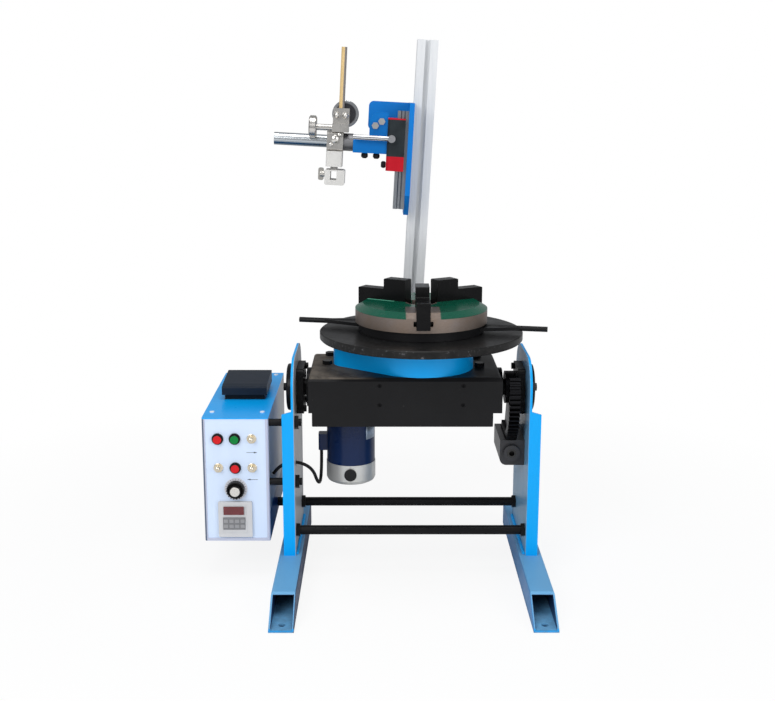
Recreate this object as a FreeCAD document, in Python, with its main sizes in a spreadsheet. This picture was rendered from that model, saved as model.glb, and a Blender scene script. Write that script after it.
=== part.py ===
"""Small tilt and turn welding positioner with a lever chuck and a torch stand.

Units are millimetres. X runs to the right, Y away from the operator, Z up.
X = 0 lies midway between the uprights, Y = 0 is the plane of the tilt axis
and Z = 0 is the floor.  The torch stand has a frame of its own, which leans
a few degrees sideways, as the mast is bolted on.
"""
import FreeCAD, Part
import math
import os
import re
import Sketcher

Vector = FreeCAD.Vector
Rotation = FreeCAD.Rotation
Placement = FreeCAD.Placement

doc = FreeCAD.newDocument("welding_positioner")
sheet = doc.addObject("Spreadsheet::Sheet", "Size")

# ---------------------------------------------------------------- sizes
SIZES = {
    "frame": {
        "gap_between_webs": 346,
        "web_thickness": 4,
        "web_depth": 180,
        "web_corner": 45,
        "web_top": 334,
        "flange_width": 18,
        "flange_top": 260,
        "flange_drop": 4,
        "foot_width": 35,
        "foot_height": 36,
        "foot_wall": 3,
        "foot_offset": 8,
        "foot_front": 219,
        "foot_toe": 55,
        "foot_rear": 143,
        "foot_hole": 10,
        "foot_hole_back": 18,
        "tie_bar": 14,
        "tie_height": 71,
        "front_tie": 73,
        "rear_tie": 53,
        "nut_width": 18,
        "nut_height": 6,
        "box_bar": 11,
        "upper_box_bar_height": 240,
        "lower_box_bar_height": 148,
        "bar_fit": 0.05,
    },
    "trunnions": {
        "axis_height": 276,
        "shaft": 25,
        "shaft_fit": 0.05,
        "bearing_outside": 47,
        "bearing_block": 70,
        "block_corner": 8,
        "block_depth": 11,
        "web_bore": 52,
        "side_disc": 72,
        "side_disc_thickness": 7,
        "side_disc_gap": 0.5,
        "shaft_stub": 12,
        "shaft_stub_length": 10,
        "screw_head": 10,
        "screw_head_height": 4,
        "flange_disc": 60,
        "flange_disc_thickness": 6,
    },
    "housing": {
        "housing_left": -152,
        "housing_right": 134,
        "housing_depth": 164,
        "housing_top": 309.5,
        "housing_seam": 256.5,
        "housing_wall": 4,
        "top_setback": 5,
        "skirt_depth": 20.7,
        "skirt_left": -147,
        "skirt_right": 121,
        "skirt_wall": 3,
        "front_hole": 6,
        "front_hole_left": -47,
        "front_hole_right": 76,
        "front_hole_upper": 298,
        "front_hole_lower": 269,
    },
    "tilt gear": {
        "sector_module": 2.5,
        "sector_teeth": 64,
        "sector_width": 16,
        "sector_middle": 153,
        "sector_rim": 9,
        "sector_web": 6,
        "sector_hub": 50,
        "sector_from": -24,
        "sector_sweep": 140,
        "tooth_gap_top": 6.4,
        "tooth_gap_root": 3.6,
        "thread_root": 2.6,
        "thread_tip": 1.2,
        "worm_size": 22,
        "worm_length": 36,
        "worm_shaft": 14,
        "worm_box_left": 135.5,
        "worm_box_half": 46,
        "worm_box_below": 20,
        "worm_box_above": 19,
        "worm_box_corner": 10,
        "worm_side_gap": 1,
        "worm_space": 0.6,
        "worm_boss": 25,
        "worm_boss_length": 6,
        "worm_socket": 8,
        "worm_socket_depth": 12,
    },
    "table": {
        "table_axis": 16,
        "table_size": 308,
        "table_bottom": 354,
        "table_thickness": 12,
        "table_edge": 1.5,
        "spindle": 40,
        "spindle_bore": 20,
        "spindle_bearing": 68,
        "spindle_bearing_height": 16,
        "spindle_seat": 90,
        "spindle_flange": 100,
        "spindle_flange_height": 6,
        "seat_opening": 60,
        "case_hole_gap": 3,
        "case_height": 36,
        "case_wall": 3,
        "case_large": 80,
        "case_small": 26,
        "large_pulley": 60,
        "small_pulley": 19,
        "pulley_width": 14,
        "belt_thickness": 3,
        "belt_gap": 0.3,
        "case_bolt_head": 13,
        "case_bolt_height": 6,
        "case_bolt_gap": 3,
        "case_bolt_rear_gap": 1,
        "motor_bolt_front": 10,
        "motor_bolt_rear": 70,
        "seat_bolt_front": -4,
        "seat_bolt_rear": 60,
    },
    "motor": {
        "motor_x": -92,
        "motor_y": 16,
        "motor_size": 75,
        "motor_top": 250,
        "motor_cap_top": 155,
        "motor_cap_round": 6,
        "motor_bottom": 123,
        "motor_cap_step": 0.8,
        "gear_head": 62,
        "motor_opening": 40,
        "motor_shaft": 14,
        "brush_cap": 19,
        "brush_cap_height": 3,
        "brush_height": 141,
        "outlet_depth": 13,
        "outlet_width": 18,
        "outlet_low": 172,
        "outlet_high": 198,
        "outlet_round": 3,
        "cable_size": 5,
        "cable_hole": 13,
        "cable_hole_front": 55,
        "cable_hole_height": 173,
        "cable_gland": 11,
        "cable_gland_length": 16,
    },
    "chuck": {
        "chuck_size": 200,
        "lever_ring_size": 190,
        "lever_ring_height": 14,
        "lever_ring_bore": 150,
        "ring_gap": 0.3,
        "chuck_ring_top": 401,
        "chuck_top": 408,
        "chuck_bevel": 12,
        "chuck_bore": 36,
        "chuck_mouth": 42,
        "jaw_rib": 4,
        "jaw_rib_low": 390,
        "jaw_rib_height": 7,
        "jaw_rib_setback": 1,
        "jaw_width": 20,
        "jaw_inner": 23,
        "jaw_step": 60,
        "jaw_outer": 105,
        "jaw_low_top": 425,
        "jaw_high_top": 441,
        "jaw_bottom": 385,
        "jaw_round": 2,
        "jaw_fit": 0.3,
        "lever_reach": 191,
        "lever_bar": 8,
        "lever_angle": -11.6,
        "lever_blade_root": 52,
        "lever_blade_tip": 9,
        "lever_blade_end": 150,
        "lever_blade_thickness": 5,
        "lever_blade_start": 84,
        "lever_middle": 374,
    },
    "control box": {
        "box_left": -310,
        "box_right": -211.5,
        "box_front": -82,
        "box_rear": 202,
        "box_bottom": 57,
        "box_top": 249,
        "box_sheet": 1.5,
        "lid_thickness": 1.5,
        "lid_drop": 12,
        "lid_gap": 0.2,
        "panel_recess": 1,
        "row_one": 217,
        "row_two": 172,
        "button_column_left": -287,
        "button_column_middle": -261.7,
        "button_column_right": -236.6,
        "button_size": 14,
        "button_ring": 17,
        "button_ring_height": 3,
        "button_reach": 7,
        "button_travel": 2.5,
        "toggle_nut": 12,
        "toggle_nut_height": 3,
        "toggle_bush": 6,
        "toggle_length": 11,
        "toggle_tip": 3,
        "toggle_pin": 2,
        "toggle_pin_length": 4.2,
        "toggle_throw": 10,
        "toggle_bush_wall": 0.5,
        "toggle_round": 0.5,
        "toggle_stem_gap": 1,
        "toggle_pit": 2,
        "knob_gap": 0.3,
        "knob_bevel": 1,
        "knob_cap_step": 1.5,
        "knob_waist_step": 2,
        "knob_stem_end": 5,
        "timer_case_step": 3,
        "knob_height": 139,
        "knob_size": 23,
        "knob_length": 14,
        "knob_cap": 14,
        "dial_thickness": 1,
        "timer_left": -288.5,
        "timer_right": -238,
        "timer_low": 64.5,
        "timer_high": 120,
        "timer_proud": 5,
        "timer_depth": 70,
        "timer_round": 2,
        "timer_margin": 8,
        "window_height": 12,
        "keys_height": 17,
    },
    "pedal": {
        "pedal_nose": 14,
        "pedal_nose_rise": 2,
        "pedal_lug": 14,
        "pedal_lug_rise": 4,
        "pedal_left": -293,
        "pedal_right": -223,
        "pedal_front": 22,
        "pedal_rear": 110,
        "pedal_front_height": 21,
        "pedal_rear_height": 28,
        "pedal_base_height": 8,
        "pedal_skirt": 8,
        "pedal_wall": 3,
        "pedal_gap": 1,
        "pedal_pin": 5,
        "pedal_pin_height": 17,
        "pedal_round": 3,
    },
    "torch stand": {
        "mast_x": 1.5,
        "mast_foot_height": 240,
        "mast_lean": 3,
        "mast_width": 34,
        "mast_front": 202,
        "mast_length": 562,
        "mast_slot": 8,
        "mast_slot_depth": 9,
        "mast_lip": 3,
        "mast_slot_undercut": 3,
        "mast_arm_foot": 14,
        "mast_arm_drop": 2,
        "mast_arm_rise": 4,
        "mast_plate_margin": 6,
        "mast_bolt_inset": 8,
        "plate_bolt_inset": 22,
        "mast_arm_low": 258,
        "mast_arm_size": 40,
        "mast_plate": 6,
        "mast_clamp_low": 4,
        "mast_clamp_high": 76,
        "plate_thickness": 8,
        "plate_low": 281,
        "plate_high": 461,
        "plate_front": 143,
        "plate_overlap": 30,
        "plate_cut": 34,
        "wing_left": 90,
        "wing_low": 415,
        "wing_gap": 0.5,
        "wing_plate": 4,
        "wing_round": 8,
        "slide_y": 165,
        "rail_width": 20,
        "rail_waist": 3,
        "rail_height": 18,
        "rail_low": 292,
        "rail_high": 448,
        "carriage_width": 44,
        "carriage_reach": 33,
        "carriage_lift": 5,
        "carriage_bevel": 3,
        "carriage_low": 376,
        "carriage_high": 434,
        "seal_thickness": 2,
        "rail_fit": 0.3,
        "clamp_low": 353,
        "arm_left": 112,
        "arm_low": 379,
        "arm_high": 401,
        "arm_depth": 32,
        "ear_bolt_inset": 9,
        "ear_bolt_drop": 21,
        "ear_bolt_apart": 10,
        "ear_bolt_rise": 7,
        "tube_size": 20,
        "tube_wall": 2,
        "tube_height": 394,
        "tube_left": 239,
        "tube_right": 66,
        "tube_fit": 0.1,
        "knob_round": 2,
        "knob_neck": 1,
        "arm_knob_round": 2.5,
        "clamp_knob_forward": 8,
    },
    "torch clamp": {
        "collar_right": 112,
        "collar_size": 28,
        "carrier_wall": 3,
        "carrier_roof": 2,
        "ball_neck": 4,
        "ball_stand": 3,
        "disc_knob_stand": 3,
        "disc_knob_round": 1,
        "neck_forward": 4,
        "grip_roof": 2,
        "wing_screw_forward": 8,
        "head_left": 154,
        "head_right": 128,
        "head_low": 355,
        "head_front": 24,
        "head_rear": 16,
        "head_round": 3,
        "head_gap": 0.3,
        "clamp_low_w": 380,
        "clamp_top": 410,
        "clamp_ends": 18,
        "grip_low": 326,
        "grip_top": 350,
        "grip_left": 155,
        "grip_right": 123,
        "grip_neck": 12,
        "grip_slot": 10,
        "grip_slot_low": 334,
        "rod_size": 9,
        "rod_u": 133,
        "rod_low": 412,
        "rod_high": 542,
        "rod_fit": 0.15,
        "rod_clamp_top": 447,
        "rod_clamp_width": 26,
        "rod_clamp_depth": 16,
        "ball": 10,
        "ball_spread": 14,
        "ball_height": 436,
        "disc_knob_size": 43,
        "disc_knob_thickness": 9,
        "disc_knob_u": 127,
        "disc_knob_w": 438,
        "side_knob_size": 35,
        "side_knob_width": 12,
        "side_knob_left": 183,
        "side_knob_w": 416,
        "side_knob_front": 18,
        "knob_stem": 10,
        "knob_screw": 6,
        "wing_screw_w": 342,
        "wing_reach": 11,
        "wing_width": 20,
        "wing_thickness": 3,
        "bar_lever_w": 404,
        "bar_lever_size": 8,
        "bar_lever_left": 112,
        "bar_lever_pivot": 51,
        "bar_lever_hub": 12,
        "bar_lever_stand": 8,
        "arm_knob_outer": 93,
        "arm_knob_inner": 74,
        "arm_knob_size": 11,
        "arm_knob_drop": 9,
        "ear_left": 87,
        "ear_high": 444,
        "ear_cut": 10,
        "ear_thickness": 4,
        "clamp_knob_reach": 8,
        "clamp_knob_w": 362,
        "clamp_knob_size": 11,
        "bolt_head": 10,
        "bolt_head_height": 4,
        "arm_bore_end": 62,
    },
}

ALIASES = set()
row = 1
for group_name, values in SIZES.items():
    sheet.set(f"A{row}", group_name)
    row += 1
    for alias, number in values.items():
        sheet.set(f"A{row}", alias.replace("_", " "))
        sheet.set(f"B{row}", str(number))
        sheet.setAlias(f"B{row}", alias)
        ALIASES.add(alias)
        row += 1
doc.recompute()


# -------------------------------------------------------------- helpers
def full(text):
    """Expression text with each size name pointed at the sheet."""
    def point(match):
        word = match.group()
        return "Size." + word if word in ALIASES else word
    return re.sub(r"[a-z][a-z_0-9]*", point, str(text))


def size(text):
    """Number that an expression gives now."""
    return float(sheet.evalExpression(full(text)))


def bind(obj, prop, text):
    obj.setExpression(prop, full(text))


def place(obj, x=0, y=0, z=0, turn=None):
    obj.Placement = Placement(Vector(0, 0, 0), turn or Rotation())
    for axis, text in (("x", x), ("y", y), ("z", z)):
        bind(obj, f"Placement.Base.{axis}", text)
    return obj


def lean(obj):
    """Put an object drawn in the torch stand's own frame into place."""
    turn = Rotation(Vector(0, 1, 0), size("mast_lean"))
    return place(obj, "mast_x", 0, "mast_foot_height", turn)


TURNS = {
    "X": Rotation(Vector(0, 1, 0), 90),
    "Y": Rotation(Vector(1, 0, 0), -90),
    "Z": Rotation(),
}


def add(kind, label):
    obj = doc.addObject(kind, "item")
    obj.Label = label
    return obj


def block(x, y, z, label="block"):
    """Box between pairs of expressions."""
    obj = add("Part::Box", label)
    for prop, pair in (("Length", x), ("Width", y), ("Height", z)):
        bind(obj, prop, f"({pair[1]}) - ({pair[0]})")
    return place(obj, x[0], y[0], z[0])


def rod(axis, span, across, diameter, label="rod"):
    """Cylinder along an axis: span on that axis, across on the other two."""
    obj = add("Part::Cylinder", label)
    bind(obj, "Radius", f"({diameter}) / 2")
    bind(obj, "Height", f"({span[1]}) - ({span[0]})")
    spot = list(across)
    spot.insert("XYZ".index(axis), span[0])
    return place(obj, *spot, TURNS[axis])


def hexagon(axis, span, across, flats, label="hexagon"):
    obj = add("Part::Prism", label)
    obj.Polygon = 6
    bind(obj, "Circumradius", f"({flats}) / 2 / cos(30)")
    bind(obj, "Height", f"({span[1]}) - ({span[0]})")
    spot = list(across)
    spot.insert("XYZ".index(axis), span[0])
    return place(obj, *spot, TURNS[axis])


def join(pieces, label="joined"):
    obj = add("Part::MultiFuse", label)
    obj.Shapes = pieces
    obj.Refine = True
    return obj


def cut(base, tools, label="cut"):
    obj = add("Part::Cut", label)
    obj.Base = base
    obj.Tool = tools[0] if len(tools) == 1 else join(tools)
    obj.Refine = True
    return obj


def group(pieces, label):
    obj = add("Part::Compound", label)
    obj.Links = pieces
    return obj


def soften(obj, radius, wanted, label="softened"):
    """Fillet every edge that wanted picks from the recomputed shape."""
    doc.recompute()
    edges = [n + 1 for n, edge in enumerate(obj.Shape.Edges) if wanted(edge)]
    if not edges:
        raise RuntimeError(f"no edge to soften on {label}")
    smooth = add("Part::Fillet", label)
    smooth.Base = obj
    smooth.Edges = [(n, size(radius), size(radius)) for n in edges]
    return smooth


def along(axis):
    """Test for straight edges that run along an axis."""
    way = {"X": Vector(1, 0, 0), "Y": Vector(0, 1, 0), "Z": Vector(0, 0, 1)}[axis]

    def test(edge):
        if edge.Curve.TypeId != "Part::GeomLine":
            return False
        return abs(edge.tangentAt(edge.FirstParameter).dot(way)) > 0.999
    return test


def at(edge, axis, text, slack=0.01):
    """True where all of an edge lies at one coordinate."""
    box = edge.BoundBox
    low = getattr(box, axis + "Min")
    high = getattr(box, axis + "Max")
    return abs(low - size(text)) < slack and abs(high - size(text)) < slack


def new_body(label):
    obj = doc.addObject("PartDesign::Body", "body")
    obj.Label = label
    return obj


def origin_plane(body, name):
    for feature in body.Origin.OriginFeatures:
        if feature.Role == name + "_Plane":
            return feature
    raise RuntimeError(f"no plane {name}")


def sketch(body, plane, shift, loops):
    """Sketch of closed loops, each a list of corners or a circle."""
    obj = body.newObject("Sketcher::SketchObject", "profile")
    obj.AttachmentSupport = [(origin_plane(body, plane), "")]
    obj.MapMode = "FlatFace"
    bind(obj, "AttachmentOffset.Base.z", shift)
    for loop in loops:
        if loop[0] == "circle":
            draw_circle(obj, *loop[1:])
        else:
            draw_corners(obj, loop)
    return obj


def fix_point(obj, item, point, x, y):
    for kind, text in (("DistanceX", x), ("DistanceY", y)):
        index = obj.addConstraint(Sketcher.Constraint(kind, item, point, size(text)))
        bind(obj, f"Constraints[{index}]", text)


def draw_circle(obj, x, y, diameter):
    centre = Vector(size(x), size(y), 0)
    item = obj.addGeometry(Part.Circle(centre, Vector(0, 0, 1), size(diameter) / 2))
    fix_point(obj, item, 3, x, y)
    index = obj.addConstraint(Sketcher.Constraint("Diameter", item, size(diameter)))
    bind(obj, f"Constraints[{index}]", diameter)


def draw_corners(obj, corners):
    points = [Vector(size(x), size(y), 0) for x, y in corners]
    lines = [Part.LineSegment(a, b) for a, b in zip(points, points[1:] + points[:1])]
    first = obj.GeometryCount
    obj.addGeometry(lines)
    count = len(lines)
    for n in range(count):
        obj.addConstraint(Sketcher.Constraint(
            "Coincident", first + n, 2, first + (n + 1) % count, 1))
    for n, (x, y) in enumerate(corners):
        fix_point(obj, first + n, 1, x, y)


def slab(body, plane, span, loops, remove=False):
    """Pad or pocket of loops between two coordinates on a plane's axis."""
    low, high = span
    start = f"-({high})" if plane == "XZ" else low
    profile = sketch(body, plane, start, loops)
    kind = "PartDesign::Pocket" if remove else "PartDesign::Pad"
    before = size_of(body) if remove else 0
    obj = body.newObject(kind, "cut_out" if remove else "slab")
    obj.Profile = profile
    bind(obj, "Length", f"({high}) - ({low})")
    obj.Reversed = remove
    if remove:
        doc.recompute()
        if not obj.Shape.Volume < before - 0.001:
            raise RuntimeError(f"a cut in {body.Label} takes nothing away")
    return obj


def size_of(body):
    doc.recompute()
    return body.Shape.Volume


def fillet(body, radius, wanted):
    doc.recompute()
    base = body.Tip
    names = [f"Edge{n + 1}" for n, edge in enumerate(base.Shape.Edges) if wanted(edge)]
    if not names:
        raise RuntimeError(f"no edge to round on {body.Label}")
    obj = body.newObject("PartDesign::Fillet", "round")
    obj.Base = (base, names)
    bind(obj, "Radius", radius)
    return obj


def chamfer(body, width, wanted):
    doc.recompute()
    base = body.Tip
    names = [f"Edge{n + 1}" for n, edge in enumerate(base.Shape.Edges) if wanted(edge)]
    if not names:
        raise RuntimeError(f"no edge to bevel on {body.Label}")
    obj = body.newObject("PartDesign::Chamfer", "bevel")
    obj.Base = (base, names)
    bind(obj, "Size", width)
    return obj


def turned(label, profile, axis="Z", x=0, y=0, z=0):
    """Body of revolution: profile holds (along the axis, radius) pairs."""
    body = new_body(label)
    plane = {"X": "XZ", "Y": "YZ", "Z": "XZ"}[axis]
    if axis == "Z":
        corners = [(radius, run) for run, radius in profile]
    else:
        corners = [(run, radius) for run, radius in profile]
    drawn = sketch(body, plane, 0, [corners])
    obj = body.newObject("PartDesign::Revolution", "turned")
    obj.Profile = drawn
    obj.ReferenceAxis = (drawn, ["V_Axis" if axis == "Z" else "H_Axis"])
    obj.Angle = 360
    place(body, x, y, z)
    return body


def mirrored(side, text):
    """Expression on the right (+1) or the left (-1) of the machine."""
    return f"({side}) * ({text})"


def ordered(side, near, far):
    """Span from inside to outside, low value first, on either side."""
    if side > 0:
        return near, far
    return f"-({far})", f"-({near})"


NODES = []


def node(obj, label):
    obj.Label = label
    NODES.append(obj)
    return obj


# ---------------------------------------------------------------- frame
WEB = "gap_between_webs / 2"
WEB_OUT = "(gap_between_webs / 2 + web_thickness)"
FLANGE_OUT = "(gap_between_webs / 2 + flange_width)"
FOOT_MIDDLE = "(gap_between_webs / 2 + foot_offset)"


def foot(side, label):
    """Square tube foot, open at the front, its walls cut back to a toe."""
    body = new_body(label)
    half = "foot_width / 2"
    slab(body, "YZ", (f"-{half}", half), [[
        ("-(foot_front + foot_toe)", "0"),
        ("foot_rear", "0"),
        ("foot_rear", "foot_height"),
        ("-foot_front", "foot_height"),
        ("-(foot_front + foot_toe)", "foot_wall"),
    ]])
    inside = "(foot_width / 2 - foot_wall)"
    slab(body, "XZ", ("-(foot_front + foot_toe + foot_wall)", "foot_rear - foot_wall"), [[
        (f"-{inside}", "foot_wall"),
        (inside, "foot_wall"),
        (inside, "foot_height - foot_wall"),
        (f"-{inside}", "foot_height - foot_wall"),
    ]], remove=True)
    slab(body, "XY", ("-1", "foot_wall + 1"), [
        ("circle", "0", "-(foot_front + foot_toe - foot_hole_back)", "foot_hole"),
    ], remove=True)
    fillet(body, "foot_wall", lambda edge: along("Y")(edge) and (
        at(edge, "X", half) or at(edge, "X", f"-{half}")) and at(edge, "Z", "foot_height"))
    place(body, mirrored(side, FOOT_MIDDLE))
    return node(body, label)


def upright(side, label):
    """Folded plate: a round-topped web with a flange turned out at each edge."""
    body = new_body(label)
    span = ordered(side, WEB, WEB_OUT)
    half = "web_depth / 2"
    slab(body, "YZ", span, [[
        (f"-{half}", "foot_height"),
        (half, "foot_height"),
        (half, "web_top"),
        (f"-{half}", "web_top"),
    ]])
    fillet(body, "web_corner", lambda edge: along("X")(edge) and at(edge, "Z", "web_top"))
    outer = ordered(side, WEB_OUT, FLANGE_OUT)
    tall = ("flange_top", "flange_top - flange_drop")
    left, right = tall if side > 0 else tall[::-1]
    for low, high in ((f"-{half}", f"-{half} + web_thickness"),
                      (f"{half} - web_thickness", half)):
        slab(body, "XZ", (low, high), [[
            (outer[0], "foot_height"),
            (outer[1], "foot_height"),
            (outer[1], right),
            (outer[0], left),
        ]])
    slab(body, "YZ", span, [
        ("circle", "0", "axis_height", "web_bore"),
        ("circle", "-front_tie", "tie_height", "tie_bar + 2 * bar_fit"),
        ("circle", "rear_tie", "tie_height", "tie_bar + 2 * bar_fit"),
    ], remove=True)
    if side < 0:
        slab(body, "YZ", span, [
            ("circle", "-front_tie", "upper_box_bar_height", "box_bar + 2 * bar_fit"),
            ("circle", "-front_tie", "lower_box_bar_height", "box_bar + 2 * bar_fit"),
            ("circle", "-cable_hole_front", "cable_hole_height", "cable_hole"),
        ], remove=True)
    place(body)
    return node(body, label)


def tie_bars():
    """Bars through the webs; the rear one and two short ones carry the box."""
    reach = f"{WEB_OUT} + nut_height"
    bars = [
        rod("X", (f"-({reach})", reach), ("-front_tie", "tie_height"), "tie_bar"),
        rod("X", ("box_right", reach), ("rear_tie", "tie_height"), "tie_bar"),
    ]
    for name in ("upper", "lower"):
        bars.append(rod("X", ("box_right", f"-{WEB} + nut_height + 4"),
                        ("-front_tie", f"{name}_box_bar_height"), "box_bar"))
    node(group(bars, "tie_bars"), "tie_bars")


def bored_nut(span, spot, bar):
    nut = hexagon("X", span, spot, "nut_width")
    hole = rod("X", (f"{span[0]} - 1", f"{span[1]} + 1"), spot, f"{bar} + 2 * bar_fit")
    return cut(nut, [hole])


def bar_nuts():
    """Nuts on both sides of each web hold the bars."""
    nuts = []
    for y, side in (("-front_tie", 1), ("-front_tie", -1), ("rear_tie", 1), ("rear_tie", -1)):
        spans = [ordered(side, f"{WEB} - nut_height", WEB),
                 ordered(side, WEB_OUT, f"{WEB_OUT} + nut_height")]
        nuts += [bored_nut(span, (y, "tie_height"), "tie_bar") for span in spans]
    for name in ("upper", "lower"):
        spot = ("-front_tie", f"{name}_box_bar_height")
        nuts.append(bored_nut((f"-{WEB}", f"-{WEB} + nut_height"), spot, "box_bar"))
        nuts.append(bored_nut((f"-{WEB_OUT} - nut_height", f"-{WEB_OUT}"), spot, "box_bar"))
    return nuts


foot(-1, "left_foot")
foot(1, "right_foot")
upright(-1, "left_upright")
upright(1, "right_upright")
tie_bars()


# ------------------------------------------------------------ trunnions
def bearing_block(side, label="block"):
    """Square flanged block inside the web, its spigot through the web."""
    span = ordered(side, f"{WEB} - block_depth", WEB)
    half = "bearing_block / 2"
    plate = block(span, (f"-{half}", half),
                  (f"axis_height - {half}", f"axis_height + {half}"))
    plate = soften(plate, "block_corner", along("X"))
    through = ordered(side, WEB, WEB_OUT)
    spigot = rod("X", through, ("0", "axis_height"), "web_bore - 2 * shaft_fit")
    whole = ordered(side, f"{WEB} - block_depth - 1", f"{WEB_OUT} + 1")
    bore = rod("X", whole, ("0", "axis_height"), "bearing_outside")
    return cut(join([plate, spigot]), [bore], label)


def shaft_bearing(side):
    span = ordered(side, f"{WEB} - block_depth", WEB_OUT)
    outside = rod("X", span, ("0", "axis_height"), "bearing_outside")
    bore = rod("X", (f"{span[0]} - 1", f"{span[1]} + 1"), ("0", "axis_height"),
               "shaft + 2 * shaft_fit")
    return cut(outside, [bore])


def block_screws():
    """Four screw heads on the inner face of each block."""
    screws = []
    reach = "(bearing_block / 2 - block_corner)"
    for side in (-1, 1):
        span = ordered(side, f"{WEB} - block_depth - screw_head_height",
                       f"{WEB} - block_depth")
        for y in (f"-{reach}", reach):
            for z in (f"axis_height - {reach}", f"axis_height + {reach}"):
                screws.append(rod("X", span, (y, z), "screw_head"))
    return screws


def trunnion(side, inner):
    """Shaft with the flange that bolts to the housing."""
    disc_out = f"{WEB_OUT} + side_disc_gap + side_disc_thickness"
    shaft_span = ordered(side, inner, disc_out)
    bar = rod("X", shaft_span, ("0", "axis_height"), "shaft")
    flange_span = ordered(side, inner, f"{inner} + flange_disc_thickness")
    flange = rod("X", flange_span, ("0", "axis_height"), "flange_disc")
    stub_span = ordered(side, disc_out, f"{disc_out} + shaft_stub_length")
    stub = rod("X", stub_span, ("0", "axis_height"), "shaft_stub")
    return join([bar, flange, stub])


def side_disc(side):
    """Cover disc on the shaft outside the web, dished towards its rim."""
    start = f"{WEB_OUT} + side_disc_gap"
    inside = "shaft / 2"
    rim = "side_disc / 2"
    profile = [
        ("0", inside), ("side_disc_thickness", inside),
        ("side_disc_thickness", "side_disc / 4"),
        ("side_disc_thickness / 2", rim), ("0", rim),
    ]
    if side < 0:
        profile = [(f"-({run})", radius) for run, radius in profile]
    return turned("disc", profile, "X", mirrored(side, start), 0, "axis_height")


node(group([bearing_block(-1), bearing_block(1), shaft_bearing(-1), shaft_bearing(1)],
           "bearing_units"), "bearing_units")
node(group([trunnion(-1, "-housing_left"), trunnion(1, "housing_right"),
            side_disc(-1), side_disc(1)], "trunnions"), "trunnions")


# ---------------------------------------------------------- motor cable
# Hangs from the outlet, rises to its hole in the left web and ends in the box.
CABLE_ROUTE = [Vector(*point) for point in (
    (-138, 11, 171.95), (-138, 11, 134), (-140, -32, 126),
    (-150, -55, 168), (-192, -55, 176), (-208, -50, 153),
)]
CABLE_END = (CABLE_ROUTE[-1] - CABLE_ROUTE[-2]).normalize()
CORNER_SHARE = 0.45


def motor_cable():
    """Round tube along the route's runs, with a tangent arc at each corner."""
    edges = []
    start = CABLE_ROUTE[0]
    for before, corner, after in zip(CABLE_ROUTE, CABLE_ROUTE[1:], CABLE_ROUTE[2:]):
        back, ahead = before - corner, after - corner
        trim = CORNER_SHARE * min(back.Length, ahead.Length)
        half_turn = (math.pi - back.getAngle(ahead)) / 2
        print(f"cable bend radius {trim / math.tan(half_turn):.1f}")
        one = corner + back.normalize() * trim
        two = corner + ahead.normalize() * trim
        inward = (back + ahead).normalize()
        radius = trim / math.tan(half_turn)
        centre = corner + inward * (radius / math.cos(half_turn))
        edges.append(Part.makeLine(start, one))
        edges.append(Part.Arc(one, centre - inward * radius, two).toShape())
        start = two
    edges.append(Part.makeLine(start, CABLE_ROUTE[-1]))
    path = Part.Wire(edges)
    first = CABLE_ROUTE[1] - CABLE_ROUTE[0]
    ring = Part.Wire(Part.makeCircle(size("cable_size") / 2, CABLE_ROUTE[0], first))
    cable = doc.addObject("Part::Feature", "motor_cable")
    cable.Shape = path.makePipeShell([ring], True, False)
    section = math.pi * (size("cable_size") / 2) ** 2
    print(f"cable {path.Length:.1f} long, volume {cable.Shape.Volume / (section * path.Length):.3f}")
    return node(cable, "motor_cable")


motor_cable()


# -------------------------------------------------------------- housing
def housing_shell():
    """Box open below; its top plate is set back along the front."""
    body = new_body("tilt_housing")
    half = "housing_depth / 2"
    slab(body, "YZ", ("housing_left", "housing_right"), [[
        (f"-{half}", "housing_seam"),
        (half, "housing_seam"),
        (half, "housing_top"),
        (f"-({half} - top_setback)", "housing_top"),
        (f"-{half}", "housing_top - top_setback"),
    ]])
    fillet(body, "top_setback", lambda edge: along("Y")(edge) and at(edge, "Z", "housing_top"))
    inside = f"({half} - housing_wall)"
    slab(body, "XY", ("housing_seam - 1", "housing_top - housing_wall"), [[
        ("housing_left + housing_wall", f"-{inside}"),
        ("housing_right - housing_wall", f"-{inside}"),
        ("housing_right - housing_wall", inside),
        ("housing_left + housing_wall", inside),
    ]], remove=True)
    holes = []
    for x in ("front_hole_left", "front_hole_right"):
        for z in ("front_hole_upper", "front_hole_lower"):
            holes.append(("circle", x, z, "front_hole"))
    slab(body, "XZ", (f"-({half} + 1)", f"-{inside} + 1"), holes, remove=True)
    slab(body, "XY", ("housing_top - housing_wall - 1", "housing_top + 1"), [
        ("circle", "table_axis", "0", "seat_opening"),
        ("circle", "motor_x", "motor_y", "motor_opening"),
    ], remove=True)
    place(body)
    return node(body, "tilt_housing")


def housing_skirt():
    """Lower rim of the housing, a little shorter than the box above it."""
    body = new_body("housing_skirt")
    half = "housing_depth / 2"
    bottom = "(housing_seam - skirt_depth)"
    slab(body, "XY", (bottom, "housing_seam"), [[
        ("skirt_left", f"-{half}"), ("skirt_right", f"-{half}"),
        ("skirt_right", half), ("skirt_left", half),
    ]])
    inside = f"({half} - skirt_wall)"
    slab(body, "XY", (f"{bottom} - 1", "housing_seam + 1"), [[
        ("skirt_left + skirt_wall", f"-{inside}"),
        ("skirt_right - skirt_wall", f"-{inside}"),
        ("skirt_right - skirt_wall", inside),
        ("skirt_left + skirt_wall", inside),
    ]], remove=True)
    fillet(body, "skirt_wall", lambda edge: along("Z")(edge) and (
        at(edge, "Y", half) or at(edge, "Y", f"-{half}")))
    place(body)
    return node(body, "housing_skirt")


housing_shell()
housing_skirt()


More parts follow.
